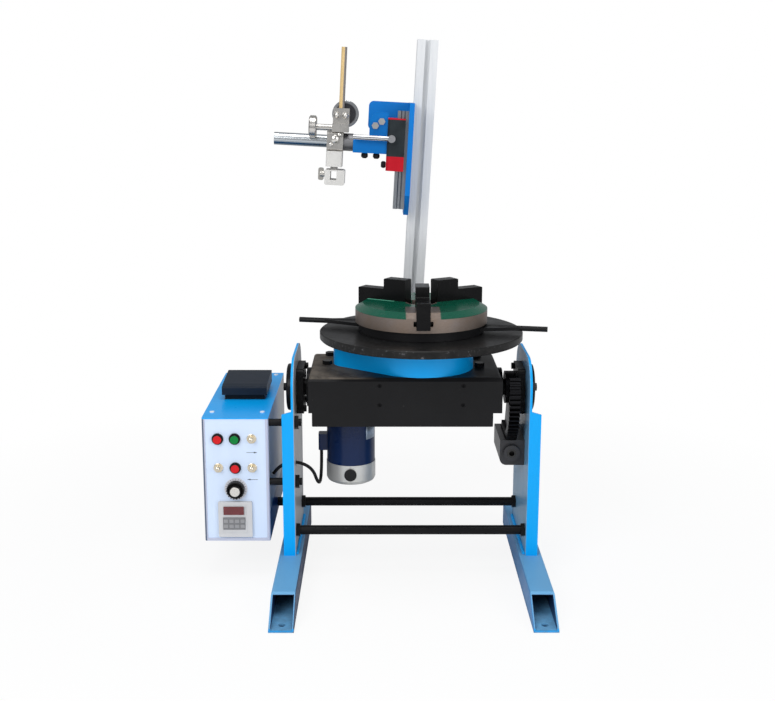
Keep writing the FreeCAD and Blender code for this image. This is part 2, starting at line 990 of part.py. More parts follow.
# ------------------------------------------------------------ tilt gear
SECTOR_RADIUS = "(sector_module * sector_teeth / 2)"
SECTOR_TIP = f"({SECTOR_RADIUS} + sector_module)"
SECTOR_ROOT = f"({SECTOR_RADIUS} - 1.25 * sector_module)"
WORM_HEIGHT = f"(axis_height - {SECTOR_RADIUS} - worm_size / 2)"
QUARTER = 90


def tilt_sector():
    """Toothed sector on the right trunnion, turned by the worm below it."""
    body = new_body("tilt_sector")
    half = "sector_width / 2"
    web = "sector_web / 2"
    rim = f"({SECTOR_ROOT} - sector_rim)"
    bore = "(shaft / 2)"
    profile = sketch(body, "XZ", 0, [[
        (f"-{half}", bore), (half, bore), (half, "sector_hub / 2"),
        (web, "sector_hub / 2"), (web, rim), (half, rim),
        (half, SECTOR_TIP), (f"-{half}", SECTOR_TIP), (f"-{half}", rim),
        (f"-{web}", rim), (f"-{web}", "sector_hub / 2"), (f"-{half}", "sector_hub / 2"),
    ]])
    arc = body.newObject("PartDesign::Revolution", "arc")
    arc.Profile = profile
    arc.ReferenceAxis = (profile, ["H_Axis"])
    bind(arc, "Angle", "sector_sweep")
    slab(body, "YZ", (f"-{half}", half), [
        ("circle", "0", "0", "sector_hub"), ("circle", "0", "0", "shaft"),
    ])
    step = 360 / size("sector_teeth")
    count = int(size("sector_sweep") // step)
    gap_top = "(tooth_gap_top / 2)"
    gap_root = "(tooth_gap_root / 2)"
    gap = slab(body, "YZ", (f"-({half} + 1)", f"{half} + 1"), [[
        (f"-{gap_root}", SECTOR_ROOT), (gap_root, SECTOR_ROOT),
        (gap_top, f"{SECTOR_TIP} + 0.5"), (f"-{gap_top}", f"{SECTOR_TIP} + 0.5"),
    ]], remove=True)
    teeth = body.newObject("PartDesign::PolarPattern", "teeth")
    teeth.Originals = [gap]
    teeth.Axis = (gap.Profile[0], ["N_Axis"])
    teeth.Angle = step * count
    teeth.Occurrences = count + 1
    body.Tip = teeth
    turn = Rotation(Vector(1, 0, 0), QUARTER + size("sector_from"))
    place(body, "sector_middle", 0, "axis_height", turn)
    return node(body, "tilt_sector")


def worm():
    """Single start worm, cut on one shaft that shows in the front boss."""
    body = new_body("worm")
    reach = "worm_box_half + worm_boss_length"
    root = "(worm_size / 2 - 1.25 * sector_module)"
    core = sketch(body, "XZ", 0, [[
        ("0", "-worm_box_half"), ("worm_shaft / 2", "-worm_box_half"),
        ("worm_shaft / 2", "-worm_length / 2"), (root, "-worm_length / 2"),
        (root, "worm_length / 2"), ("worm_shaft / 2", "worm_length / 2"),
        ("worm_shaft / 2", reach), ("0", reach),
    ]])
    shaft = body.newObject("PartDesign::Revolution", "core")
    shaft.Profile = core
    shaft.ReferenceAxis = (core, ["V_Axis"])
    shaft.Angle = 360
    turns = math.floor(size("worm_length") / (math.pi * size("sector_module"))) - 1
    start = f"-({turns / 2} * pi * sector_module)"
    tip = "(worm_size / 2 + sector_module)"
    low = "(worm_size / 2 - 1.25 * sector_module - 0.3)"
    tooth = sketch(body, "XZ", 0, [[
        (low, f"{start} - thread_root / 2"), (low, f"{start} + thread_root / 2"),
        (tip, f"{start} + thread_tip / 2"), (tip, f"{start} - thread_tip / 2"),
    ]])
    thread = body.newObject("PartDesign::AdditiveHelix", "thread")
    thread.Profile = tooth
    thread.ReferenceAxis = (tooth, ["V_Axis"])
    thread.Mode = 0
    bind(thread, "Pitch", "pi * sector_module")
    bind(thread, "Height", f"{turns} * pi * sector_module")
    slab(body, "XY", (f"{reach} - worm_socket_depth", f"{reach} + 1"),
         [("circle", "0", "0", "worm_socket")], remove=True)
    step = 360 / size("sector_teeth")
    to_gap = (QUARTER - size("sector_from")) % step / step
    phase = QUARTER * (2 * (turns + 1) + 1) + 360 * to_gap
    turn = Rotation(Vector(1, 0, 0), 90) * Rotation(Vector(0, 0, 1), -phase)
    place(body, "sector_middle", 0, WORM_HEIGHT, turn)
    return node(body, "worm")


def worm_box():
    """Box on the right upright around the worm, open above for the sector."""
    body = new_body("worm_box")
    half = "worm_box_half"
    low = f"({WORM_HEIGHT} - worm_box_below)"
    high = f"({WORM_HEIGHT} + worm_box_above)"
    slab(body, "XZ", (f"-{half}", half), [[
        ("worm_box_left", low), (WEB, low), (WEB, high), ("worm_box_left", high),
    ]])
    fillet(body, "worm_box_corner", lambda edge: along("Y")(edge) and
           at(edge, "X", "worm_box_left") and at(edge, "Z", low))
    slab(body, "XZ", (f"-({half} + worm_boss_length)", f"-{half}"), [
        ("circle", "sector_middle", WORM_HEIGHT, "worm_boss")])
    slab(body, "XZ", ("-worm_length / 2 - 1", "worm_length / 2 + 1"), [
        ("circle", "sector_middle", WORM_HEIGHT,
         "worm_size + 2 * sector_module + 2 * worm_space")], remove=True)
    slab(body, "XZ", (f"-({half} + worm_boss_length + 1)", f"{half} + 1"), [
        ("circle", "sector_middle", WORM_HEIGHT, "worm_shaft + 2 * shaft_fit")], remove=True)
    side = "(sector_width / 2 + worm_side_gap)"
    slab(body, "YZ", (f"sector_middle - {side}", f"sector_middle + {side}"), [
        ("circle", "0", "axis_height", f"2 * ({SECTOR_TIP} + worm_space)")], remove=True)
    place(body)
    return node(body, "worm_box")


tilt_sector()
worm()
worm_box()


# ---------------------------------------------------------- table drive
PLATE_UNDER = "(housing_top - housing_wall)"
CASE_TOP = "(housing_top + case_height)"
PULLEY_LOW = "(housing_top + (case_height - case_wall - pulley_width) / 2)"


def draw_tangent_loop(obj, centres, radii):
    spots = [Vector(size(x), size(y), 0) for x, y in centres]
    reach = [size(text) for text in radii]
    line = spots[1] - spots[0]
    heading = math.atan2(line.y, line.x)
    lean_in = math.acos((reach[0] - reach[1]) / line.Length)
    first = obj.GeometryCount
    up = Vector(0, 0, 1)
    start, end = heading + lean_in, heading - lean_in

    def on(n, angle):
        return spots[n] + Vector(math.cos(angle), math.sin(angle), 0) * reach[n]
    obj.addGeometry([
        Part.ArcOfCircle(Part.Circle(spots[0], up, reach[0]), start, end + 2 * math.pi),
        Part.ArcOfCircle(Part.Circle(spots[1], up, reach[1]), end, start),
        Part.LineSegment(on(0, end), on(1, end)),
        Part.LineSegment(on(1, start), on(0, start)),
    ])
    big, small, out, back = range(first, first + 4)
    for n, radius, centre in ((big, radii[0], centres[0]), (small, radii[1], centres[1])):
        fix_point(obj, n, 3, *centre)
        index = obj.addConstraint(Sketcher.Constraint("Radius", n, size(radius)))
        bind(obj, f"Constraints[{index}]", radius)
    for a, a_end, b, b_end in ((big, 2, out, 1), (out, 2, small, 1),
                               (small, 2, back, 1), (back, 2, big, 1)):
        obj.addConstraint(Sketcher.Constraint("Tangent", a, a_end, b, b_end))


def tangent_slab(body, span, loops, remove=False):
    """Pad or pocket of outlines that wrap both pulley centres."""
    low, high = span
    profile = body.newObject("Sketcher::SketchObject", "profile")
    profile.AttachmentSupport = [(origin_plane(body, "XY"), "")]
    profile.MapMode = "FlatFace"
    bind(profile, "AttachmentOffset.Base.z", low)
    centres = [("table_axis", "0"), ("motor_x", "motor_y")]
    for radii in loops:
        draw_tangent_loop(profile, centres, radii)
    kind = "PartDesign::Pocket" if remove else "PartDesign::Pad"
    before = size_of(body) if remove else 0
    obj = body.newObject(kind, "cut_out" if remove else "slab")
    obj.Profile = profile
    bind(obj, "Length", f"({high}) - ({low})")
    obj.Reversed = remove
    if remove:
        doc.recompute()
        if not obj.Shape.Volume < before - 0.001:
            raise RuntimeError(f"a cut in {body.Label} takes nothing away")
    return obj


def belt_case():
    """Drop-shaped cover over the belt, between housing and table."""
    body = new_body("belt_case")
    tangent_slab(body, ("housing_top", CASE_TOP), [("case_large", "case_small")])
    fillet(body, "case_wall", lambda edge: at(edge, "Z", CASE_TOP))
    tangent_slab(body, ("housing_top - 1", f"{CASE_TOP} - case_wall"),
                 [("case_large - case_wall", "case_small - case_wall")], remove=True)
    slab(body, "XY", (f"{CASE_TOP} - case_wall - 1", f"{CASE_TOP} + 1"), [
        ("circle", "table_axis", "0", "spindle + 2 * case_hole_gap")], remove=True)
    place(body)
    return node(body, "belt_case")


def drive_belt():
    body = new_body("drive_belt")
    low = f"{PULLEY_LOW} + 1"
    span = (low, f"{PULLEY_LOW} + pulley_width - 1")
    inner = ("large_pulley + belt_gap", "small_pulley + belt_gap")
    outer = tuple(f"{text} + belt_thickness" for text in inner)
    tangent_slab(body, span, [outer, inner])
    place(body)
    return node(body, "drive_belt")


def case_bolts():
    """Hexagon bolts that hold belt case and bearing seat to the housing."""
    bolts = []
    spots = (("motor_x - case_small - case_bolt_head / 2 - case_bolt_gap", "motor_bolt_front"),
             ("motor_x - case_small - case_bolt_head / 2 - case_bolt_rear_gap", "motor_bolt_rear"),
             ("table_axis + case_large + case_bolt_head / 2 + case_bolt_gap", "seat_bolt_front"),
             ("table_axis + case_large + case_bolt_head / 2 + case_bolt_gap", "seat_bolt_rear"))
    for x, y in spots:
        bolts.append(hexagon("Z", ("housing_top", "housing_top + case_bolt_height"),
                             (x, y), "case_bolt_head"))
    return bolts


def spindle_parts():
    """Flanged bearing under the top plate and the spindle that turns in it."""
    low = f"{PLATE_UNDER} - spindle_bearing_height"
    ring = rod("Z", (low, PLATE_UNDER), ("table_axis", "0"), "spindle_bearing")
    flange = rod("Z", (f"{PLATE_UNDER} - spindle_flange_height", PLATE_UNDER),
                 ("table_axis", "0"), "spindle_seat")
    hole = rod("Z", (f"{low} - 1", f"{PLATE_UNDER} + 1"), ("table_axis", "0"),
               "spindle + 2 * shaft_fit")
    node(cut(join([ring, flange]), [hole]), "spindle_bearing")
    foot_low = f"({low} - 4)"
    flange_low = "(table_bottom - spindle_flange_height)"
    spindle = turned("table_spindle", [
        (foot_low, "spindle_bore / 2"), ("table_bottom", "spindle_bore / 2"),
        ("table_bottom", "spindle_flange / 2"), (flange_low, "spindle_flange / 2"),
        (flange_low, "spindle / 2"),
        (f"{PULLEY_LOW} + pulley_width", "spindle / 2"),
        (f"{PULLEY_LOW} + pulley_width", "large_pulley"),
        (PULLEY_LOW, "large_pulley"), (PULLEY_LOW, "spindle / 2"),
        (foot_low, "spindle / 2"),
    ], "Z", "table_axis", 0, 0)
    node(spindle, "table_spindle")


def table():
    body = turned("round_table", [
        ("table_bottom", "spindle_bore / 2"),
        ("table_bottom", "table_size / 2 - table_edge"),
        ("table_bottom + table_edge", "table_size / 2"),
        ("table_bottom + table_thickness - table_edge", "table_size / 2"),
        ("table_bottom + table_thickness", "table_size / 2 - table_edge"),
        ("table_bottom + table_thickness", "spindle_bore / 2"),
    ], "Z", "table_axis", 0, 0)
    return node(body, "round_table")


belt_case()
drive_belt()
spindle_parts()
table()


# ---------------------------------------------------------------- motor
def motor():
    """Geared motor under the top plate, with its shaft and belt pulley."""
    radius = "motor_size / 2"
    bore = "(motor_shaft / 2 + shaft_fit)"
    pit = f"({PLATE_UNDER} - 20)"
    can = turned("can", [
        ("motor_cap_top", "0"), ("motor_cap_top", radius),
        ("motor_top", radius), ("motor_top", "gear_head / 2"),
        (PLATE_UNDER, "gear_head / 2"), (PLATE_UNDER, bore), (pit, bore), (pit, "0"),
    ], "Z", "motor_x", "motor_y", 0)
    outlet = block(("motor_x - motor_size / 2 - outlet_depth", "motor_x - motor_size / 4"),
                   ("motor_y - outlet_width / 2", "motor_y + outlet_width / 2"),
                   ("outlet_low", "outlet_high"))
    outlet = soften(outlet, "outlet_round", lambda edge: along("Z")(edge) and
                    at(edge, "X", "motor_x - motor_size / 2 - outlet_depth"))
    node(join([can, outlet]), "motor_can")
    cap_radius = "(motor_size / 2 + motor_cap_step)"
    cap = turned("cap", [
        ("motor_bottom", "0"), ("motor_bottom", f"{cap_radius} - motor_cap_round"),
        ("motor_bottom + motor_cap_round / 3", f"{cap_radius} - motor_cap_round / 3"),
        ("motor_bottom + motor_cap_round", cap_radius),
        ("motor_cap_top", cap_radius), ("motor_cap_top", "0"),
    ], "Z", "motor_x", "motor_y", 0)
    brushes = []
    for side in (-1, 1):
        span = ordered(side, f"({cap_radius} - 2)", f"({cap_radius} + brush_cap_height)")
        span = [f"motor_y + {end}" for end in span]
        brush = rod("Y", span, ("motor_x", "brush_height"), "brush_cap")
        brushes.append(cut(brush, [cap_core(cap_radius)]))
    node(group([cap] + brushes, "motor_end_cap"), "motor_end_cap")
    shaft = turned("motor_pulley", [
        (pit, "0"), (f"{PULLEY_LOW} + pulley_width", "0"),
        (f"{PULLEY_LOW} + pulley_width", "small_pulley"),
        (PULLEY_LOW, "small_pulley"), (PULLEY_LOW, "motor_shaft / 2"),
        (pit, "motor_shaft / 2"),
    ], "Z", "motor_x", "motor_y", 0)
    node(shaft, "motor_pulley")


def cap_core(radius):
    """Solid that stands for the end cap, so the brush caps sit on its curve."""
    return rod("Z", ("motor_bottom", "motor_cap_top"), ("motor_x", "motor_y"),
               f"2 * {radius}")


motor()


# ---------------------------------------------------------------- chuck
RING_LOW = "(table_bottom + table_thickness)"
BODY_LOW = "(table_bottom + table_thickness + lever_ring_height)"
JAW_ANGLES = {"front_jaw": -90, "right_jaw": 30, "left_jaw": 150}


def chuck_body():
    """Steel body with a bevelled top and three T slots for the jaws."""
    body = turned("chuck_body", [
        (RING_LOW, "chuck_bore / 2"), (RING_LOW, "lever_ring_bore / 2"),
        (BODY_LOW, "lever_ring_bore / 2"), (BODY_LOW, "chuck_size / 2"),
        ("chuck_ring_top", "chuck_size / 2"),
        ("chuck_top", "chuck_size / 2 - chuck_bevel"), ("chuck_top", "chuck_mouth / 2"),
        ("jaw_bottom - jaw_fit", "chuck_mouth / 2"), ("jaw_bottom - jaw_fit", "chuck_bore / 2"),
    ], "Z", "table_axis", 0, 0)
    half = "(jaw_width / 2 + jaw_fit)"
    wide = "(jaw_width / 2 + jaw_rib + jaw_fit)"
    rib_low = "(jaw_rib_low - jaw_fit)"
    rib_high = "(jaw_rib_low + jaw_rib_height + jaw_fit)"
    slot = slab(body, "YZ", ("0", "chuck_size / 2 + 1"), [[
        (f"-{half}", "jaw_bottom - jaw_fit"), (half, "jaw_bottom - jaw_fit"),
        (half, rib_low), (wide, rib_low), (wide, rib_high), (half, rib_high),
        (half, "chuck_top + 1"), (f"-{half}", "chuck_top + 1"),
        (f"-{half}", rib_high), (f"-{wide}", rib_high),
        (f"-{wide}", rib_low), (f"-{half}", rib_low),
    ]], remove=True)
    three = body.newObject("PartDesign::PolarPattern", "three_slots")
    three.Originals = [slot]
    three.Axis = (origin_axis(body, "Z"), [""])
    three.Angle = 360
    three.Occurrences = 3
    body.Tip = three
    turn = Rotation(Vector(0, 0, 1), 30)
    place(body, "table_axis", 0, 0, turn)
    return node(body, "chuck_body")


def origin_axis(body, name):
    for feature in body.Origin.OriginFeatures:
        if feature.Role == name + "_Axis":
            return feature
    raise RuntimeError(f"no axis {name}")


def jaw(label, angle):
    """Stepped jaw with ribs that run in the T slot."""
    body = new_body(label)
    half = "(jaw_width / 2)"
    slab(body, "XZ", (f"-{half}", half), [[
        ("jaw_inner", "jaw_bottom"), ("jaw_outer", "jaw_bottom"),
        ("jaw_outer", "jaw_low_top"), ("jaw_step", "jaw_low_top"),
        ("jaw_step", "jaw_high_top"), ("jaw_inner", "jaw_high_top"),
    ]])
    fillet(body, "jaw_round", lambda edge: along("Y")(edge) and (
        at(edge, "Z", "jaw_high_top") or at(edge, "Z", "jaw_low_top")))
    wide = "(jaw_width / 2 + jaw_rib)"
    slab(body, "XZ", (f"-{wide}", wide), [[
        ("jaw_inner + jaw_rib_setback", "jaw_rib_low"), ("chuck_size / 2 - chuck_bevel", "jaw_rib_low"),
        ("chuck_size / 2 - chuck_bevel", "jaw_rib_low + jaw_rib_height"),
        ("jaw_inner + jaw_rib_setback", "jaw_rib_low + jaw_rib_height"),
    ]])
    place(body, "table_axis", 0, 0, Rotation(Vector(0, 0, 1), angle))
    return node(body, label)


def lever_ring():
    """Scroll ring with two levers, opposite each other."""
    height = ("lever_ring_height - 2 * ring_gap")
    low = f"({RING_LOW} + ring_gap)"
    body = turned("ring", [
        (low, "lever_ring_bore / 2 + ring_gap"), (low, "lever_ring_size / 2"),
        (f"{low} + {height}", "lever_ring_size / 2"),
        (f"{low} + {height}", "lever_ring_bore / 2 + ring_gap"),
    ], "Z", "table_axis", 0, 0)
    pieces = [body]
    for side in (180, 0):
        blade = new_body("lever")
        root, tip = "lever_blade_root / 2", "lever_blade_tip / 2"
        thick = "lever_blade_thickness / 2"
        slab(blade, "XY", (f"-{thick}", thick), [[
            ("lever_blade_start", f"-({root})"), ("lever_blade_end", f"-({tip})"),
            ("lever_blade_end", tip), ("lever_blade_start", root),
        ]])
        drawn = sketch(blade, "YZ", "lever_blade_start", [("circle", "0", "0", "lever_bar")])
        bar = blade.newObject("PartDesign::Pad", "bar")
        bar.Profile = drawn
        bind(bar, "Length", "lever_reach - lever_blade_start")
        turn = Rotation(Vector(0, 0, 1), size("lever_angle") + side)
        pieces.append(place(blade, "table_axis", 0, "lever_middle", turn))
    node(join(pieces), "lever_ring")


chuck_body()
for jaw_label, jaw_angle in JAW_ANGLES.items():
    jaw(jaw_label, jaw_angle)
lever_ring()


# ---------------------------------------------------------- control box
PANEL = "(box_front + panel_recess)"
PANEL_BACK = "(box_front + panel_recess + box_sheet)"


def box_shell():
    """Sheet steel tray: floor, two sides and back, with a rim at the front."""
    body = new_body("tray")
    slab(body, "XY", ("box_bottom", "box_top - lid_thickness"), [[
        ("box_left", "box_front"), ("box_right", "box_front"),
        ("box_right", "box_rear"), ("box_left", "box_rear"),
    ]])
    fillet(body, "lid_drop / 4", lambda edge: along("Z")(edge) and at(edge, "Y", "box_front"))
    slab(body, "XY", ("box_bottom + box_sheet", "box_top"), [[
        ("box_left + box_sheet", PANEL), ("box_right - box_sheet", PANEL),
        ("box_right - box_sheet", "box_rear - box_sheet"),
        ("box_left + box_sheet", "box_rear - box_sheet"),
    ]], remove=True)
    rim = "(box_sheet + lid_drop / 4)"
    slab(body, "XZ", ("box_front - 1", PANEL), [[
        (f"box_left + {rim}", f"box_bottom + {rim}"),
        (f"box_right - {rim}", f"box_bottom + {rim}"),
        (f"box_right - {rim}", "box_top"), (f"box_left + {rim}", "box_top"),
    ]], remove=True)
    place(body)
    gland = add("Part::Cylinder", "gland")
    bind(gland, "Radius", "cable_gland / 2")
    bind(gland, "Height", "cable_gland_length")
    gland.Placement = Placement(CABLE_ROUTE[-1], Rotation(Vector(0, 0, 1), CABLE_END))
    return node(join([body, gland]), "box_shell")


def box_lid():
    """Top cover with a short lip inside each wall and one behind the panel."""
    lid = block(("box_left", "box_right"), ("box_front", "box_rear"),
                ("box_top - lid_thickness", "box_top"))
    lid = soften(lid, "lid_drop / 4", lambda edge: along("Z")(edge) and
                 at(edge, "Y", "box_front"))
    inner = "(box_sheet + lid_gap)"
    outer = block((f"box_left + {inner}", f"box_right - {inner}"),
                  (f"{PANEL_BACK} + lid_gap", f"box_rear - {inner}"),
                  ("box_top - lid_thickness - lid_drop", "box_top - lid_thickness"))
    step = f"({inner} + box_sheet)"
    core = block((f"box_left + {step}", f"box_right - {step}"),
                 (f"{PANEL_BACK} + lid_gap + box_sheet", f"box_rear - {step}"),
                 ("box_top - lid_thickness - lid_drop - 1", "box_top - lid_thickness"))
    return node(join([lid, cut(outer, [core])]), "box_lid")


BUTTONS = {
    "stop_button": ("button_column_left", "row_one"),
    "start_button": ("button_column_middle", "row_one"),
    "jog_button": ("button_column_middle", "row_two"),
}
TOGGLES = {
    "power_toggle": ("button_column_right", "row_one"),
    "mode_toggle": ("button_column_left", "row_two"),
    "direction_toggle": ("button_column_right", "row_two"),
}


def front_panel():
    """Panel inside the rim, drilled for every control."""
    side = "(box_sheet + lid_gap)"
    low = "(box_bottom + box_sheet + lid_gap)"
    plate = block((f"box_left + {side}", f"box_right - {side}"), (PANEL, PANEL_BACK),
                  (low, "box_top - lid_thickness - lid_gap"))
    through = (f"{PANEL} - 1", f"{PANEL_BACK} + 1")
    tools = [rod("Y", through, spot, "button_size + 2 * shaft_fit")
             for spot in BUTTONS.values()]
    tools += [rod("Y", through, spot, "toggle_bush") for spot in TOGGLES.values()]
    tools.append(rod("Y", through, ("button_column_middle", "knob_height"), "toggle_bush"))
    tools.append(block(("timer_left + 2", "timer_right - 2"), through,
                       ("timer_low + 2", "timer_high - 2")))
    return node(cut(plate, tools), "front_panel")


def buttons():
    """Each cap slides in a ring whose cup closes behind the panel."""
    rings = []
    for label, (x, z) in BUTTONS.items():
        bore = "(button_size / 2 + shaft_fit)"
        deep = "(box_sheet + 2 * button_travel + 3)"
        ring = turned("ring", [
            ("-button_ring_height", bore), ("-button_ring_height", "button_ring / 2"),
            ("0", "button_ring / 2"), ("0", bore),
        ], "Y", x, PANEL, z)
        cup = turned("cup", [
            ("0", bore), ("0", "button_ring / 2"), (f"{deep} + 2", "button_ring / 2"),
            (f"{deep} + 2", "0"), (deep, "0"), (deep, bore),
        ], "Y", x, PANEL_BACK, z)
        rings += [ring, cup]
        cap = turned(label, [
            ("-button_reach", "0"), ("-button_reach", "button_size / 2 - 1"),
            ("-button_reach + 1", "button_size / 2"),
            ("box_sheet + 3", "button_size / 2"), ("box_sheet + 3", "0"),
        ], "Y", x, PANEL, z)
        node(cap, label)
    return rings


def toggles():
    """Bat levers in threaded bushes, each held to the panel by its nut."""
    bushes = []
    bore = "(toggle_bush / 2 - toggle_bush_wall)"
    for label, (x, z) in TOGGLES.items():
        nut = hexagon("Y", (f"{PANEL} - toggle_nut_height", PANEL), (x, z), "toggle_nut")
        hole = rod("Y", (f"{PANEL} - toggle_nut_height - 1", f"{PANEL} + 1"), (x, z),
                   f"2 * {bore}")
        bushes.append(cut(nut, [hole]))
        case = block((f"{x} - toggle_nut / 2", f"{x} + toggle_nut / 2"),
                     (PANEL_BACK, f"{PANEL_BACK} + 2 * toggle_nut"),
                     (f"{z} - toggle_nut / 2", f"{z} + toggle_nut / 2"))
        pit = rod("Y", (f"{PANEL_BACK} - 1", f"{PANEL_BACK} + toggle_pit"), (x, z),
                  f"2 * {bore}")
        bushes.append(cut(case, [pit]))
        bat = turned(label, [
            ("-(toggle_nut_height + toggle_length)", "0"),
            ("-(toggle_nut_height + toggle_length)", "toggle_tip / 2 - toggle_round"),
            ("-(toggle_nut_height + toggle_length) + toggle_round", "toggle_tip / 2"),
            ("-(toggle_nut_height + toggle_stem_gap)", "toggle_tip / 3"),
            ("box_sheet + toggle_stem_gap", "toggle_tip / 3"),
            ("box_sheet + toggle_stem_gap", "0"),
        ], "Y")
        slab(bat, "YZ", ("-toggle_pin_length / 2", "toggle_pin_length / 2"),
             [("circle", "0", "0", "toggle_pin")])
        place(bat, x, PANEL, z, Rotation(Vector(1, 0, 0), -size("toggle_throw")))
        node(bat, label)
    return bushes


def speed_knob():
    pot = rod("Y", (PANEL_BACK, f"{PANEL_BACK} + knob_length"),
              ("button_column_middle", "knob_height"), "knob_size")
    hole = rod("Y", (f"{PANEL_BACK} - 1", f"{PANEL_BACK} + knob_stem_end + 1"),
               ("button_column_middle", "knob_height"), "toggle_bush")
    pot = cut(pot, [hole])
    face = "-(dial_thickness + knob_gap + knob_length)"
    body = turned("speed_knob", [
        (face, "0"), (face, "knob_cap / 2"), (f"{face} + knob_bevel", "knob_cap / 2 + knob_cap_step"),
        ("-(dial_thickness + knob_gap + knob_length / 3)", "knob_size / 2 - knob_waist_step"),
        ("-(dial_thickness + knob_gap + knob_length / 4)", "knob_size / 2"),
        ("-(dial_thickness + knob_gap)", "knob_size / 2"),
        ("-(dial_thickness + knob_gap)", "toggle_bush / 2 - shaft_fit"),
        ("box_sheet + knob_stem_end", "toggle_bush / 2 - shaft_fit"),
        ("box_sheet + knob_stem_end", "0"),
    ], "Y", "button_column_middle", PANEL, "knob_height")
    node(body, "speed_knob")
    return [pot]


def timer():
    """Panel meter: bezel with a sunk window and a raised key pad."""
    body = new_body("cycle_timer")
    step = "timer_case_step"
    slab(body, "XZ", (f"{PANEL} - timer_proud", PANEL), [[
        ("timer_left", "timer_low"), ("timer_right", "timer_low"),
        ("timer_right", "timer_high"), ("timer_left", "timer_high"),
    ]])
    fillet(body, "timer_round", lambda edge: along("Y")(edge))
    slab(body, "XZ", (PANEL, f"{PANEL} + timer_depth"), [[
        (f"timer_left + {step}", f"timer_low + {step}"),
        (f"timer_right - {step}", f"timer_low + {step}"),
        (f"timer_right - {step}", f"timer_high - {step}"),
        (f"timer_left + {step}", f"timer_high - {step}"),
    ]])
    left, right = "(timer_left + timer_margin)", "(timer_right - timer_margin)"
    slab(body, "XZ", (f"{PANEL} - timer_proud - 1", f"{PANEL} - timer_proud + 1"), [[
        (left, "timer_high - timer_margin - window_height"),
        (right, "timer_high - timer_margin - window_height"),
        (right, "timer_high - timer_margin"), (left, "timer_high - timer_margin"),
    ]], remove=True)
    slab(body, "XZ", (f"{PANEL} - timer_proud - 1", f"{PANEL} - timer_proud"), [[
        (left, "timer_low + timer_margin"), (right, "timer_low + timer_margin"),
        (right, "timer_low + timer_margin + keys_height"),
        (left, "timer_low + timer_margin + keys_height"),
    ]])
    place(body)
    return node(body, "cycle_timer")


def box_inside():
    """Power supply and motor drive on the floor of the box."""
    floor = "(box_bottom + box_sheet)"
    supply = block(("box_left + 12", "box_right - 12"), ("box_rear - 120", "box_rear - 20"),
                   (floor, f"{floor} + 45"))
    board = block(("box_left + 15", "box_right - 15"), ("box_rear - 225", "box_rear - 135"),
                  (f"{floor} + 6", f"{floor} + 8"))
    pieces = [board]
    for x in ("box_left + 20", "box_right - 20"):
        for y in ("box_rear - 218", "box_rear - 142"):
            pieces.append(rod("Z", (floor, f"{floor} + 6"), (x, y), "6"))
    pieces.append(block(("box_left + 25", "box_left + 55"), ("box_rear - 210", "box_rear - 150"),
                        (f"{floor} + 8", f"{floor} + 38")))
    node(group([supply, join(pieces)], "drive_electronics"), "drive_electronics")


def lid_screws():
    screws = []
    inset = "(box_sheet + 10)"
    for x in (f"box_left + {inset}", f"box_right - {inset}"):
        for y in ("box_front + 32", "box_rear - 17"):
            screws.append(rod("Z", ("box_top", "box_top + 1.5"), (x, y), "7"))
    return screws


box_shell()
box_lid()
front_panel()
node(group(buttons() + toggles() + speed_knob(), "panel_switches"), "panel_switches")
timer()
box_inside()
node(group(bar_nuts() + block_screws() + lid_screws(), "frame_fasteners"),
     "frame_fasteners")


# ---------------------------------------------------------------- pedal
def pedal_base():
    body = new_body("plate")
    inset = "(pedal_wall + pedal_gap)"
    slab(body, "XY", ("box_top", "box_top + pedal_base_height"), [[
        (f"pedal_left + {inset}", f"pedal_front + {inset} + pedal_gap"),
        (f"pedal_right - {inset}", f"pedal_front + {inset} + pedal_gap"),
        (f"pedal_right - {inset}", f"pedal_rear - {inset}"),
        (f"pedal_left + {inset}", f"pedal_rear - {inset}"),
    ]])
    slab(body, "YZ", (f"pedal_left + {inset}", f"pedal_right - {inset}"), [[
        (f"pedal_rear - {inset} - pedal_lug", "box_top + pedal_base_height"),
        (f"pedal_rear - {inset}", "box_top + pedal_base_height"),
        (f"pedal_rear - {inset}", "box_top + pedal_pin_height + pedal_lug_rise"),
        (f"pedal_rear - {inset} - pedal_lug", "box_top + pedal_pin_height + pedal_lug_rise"),
    ]])
    slab(body, "YZ", ("pedal_left", "pedal_right"), [
        ("circle", f"pedal_rear - {inset} - pedal_lug / 2", "box_top + pedal_pin_height",
         "pedal_pin + 2 * shaft_fit")], remove=True)
    place(body)
    pin = rod("X", ("pedal_left", "pedal_right"),
              (f"pedal_rear - {inset} - pedal_lug / 2", "box_top + pedal_pin_height"), "pedal_pin")
    return node(group([body, pin], "pedal_base"), "pedal_base")


def pedal_cover():
    """Hollow tread that tips about the pin at its rear."""
    body = new_body("foot_pedal")
    slab(body, "YZ", ("pedal_left", "pedal_right"), [[
        ("pedal_front", "box_top + pedal_skirt"), ("pedal_rear", "box_top + pedal_skirt"),
        ("pedal_rear", "box_top + pedal_rear_height"),
        ("pedal_front + pedal_nose", "box_top + pedal_front_height + pedal_nose_rise"),
        ("pedal_front", "box_top + pedal_front_height"),
    ]])
    fillet(body, "pedal_round", lambda edge: along("X")(edge) and
           edge.BoundBox.ZMin > size("box_top + pedal_front_height") - 0.1)
    inner = "(pedal_front + pedal_wall)", "(pedal_rear - pedal_wall)"
    slab(body, "YZ", ("pedal_left + pedal_wall", "pedal_right - pedal_wall"), [[
        (inner[0], "box_top"), (inner[1], "box_top"),
        (inner[1], "box_top + pedal_rear_height - pedal_wall"),
        (inner[0], "box_top + pedal_front_height - pedal_wall"),
    ]], remove=True)
    inset = "(pedal_wall + pedal_gap)"
    slab(body, "YZ", ("pedal_left - 1", "pedal_right + 1"), [
        ("circle", f"pedal_rear - {inset} - pedal_lug / 2", "box_top + pedal_pin_height",
         "pedal_pin + 2 * shaft_fit")], remove=True)
    place(body)
    return node(body, "foot_pedal")


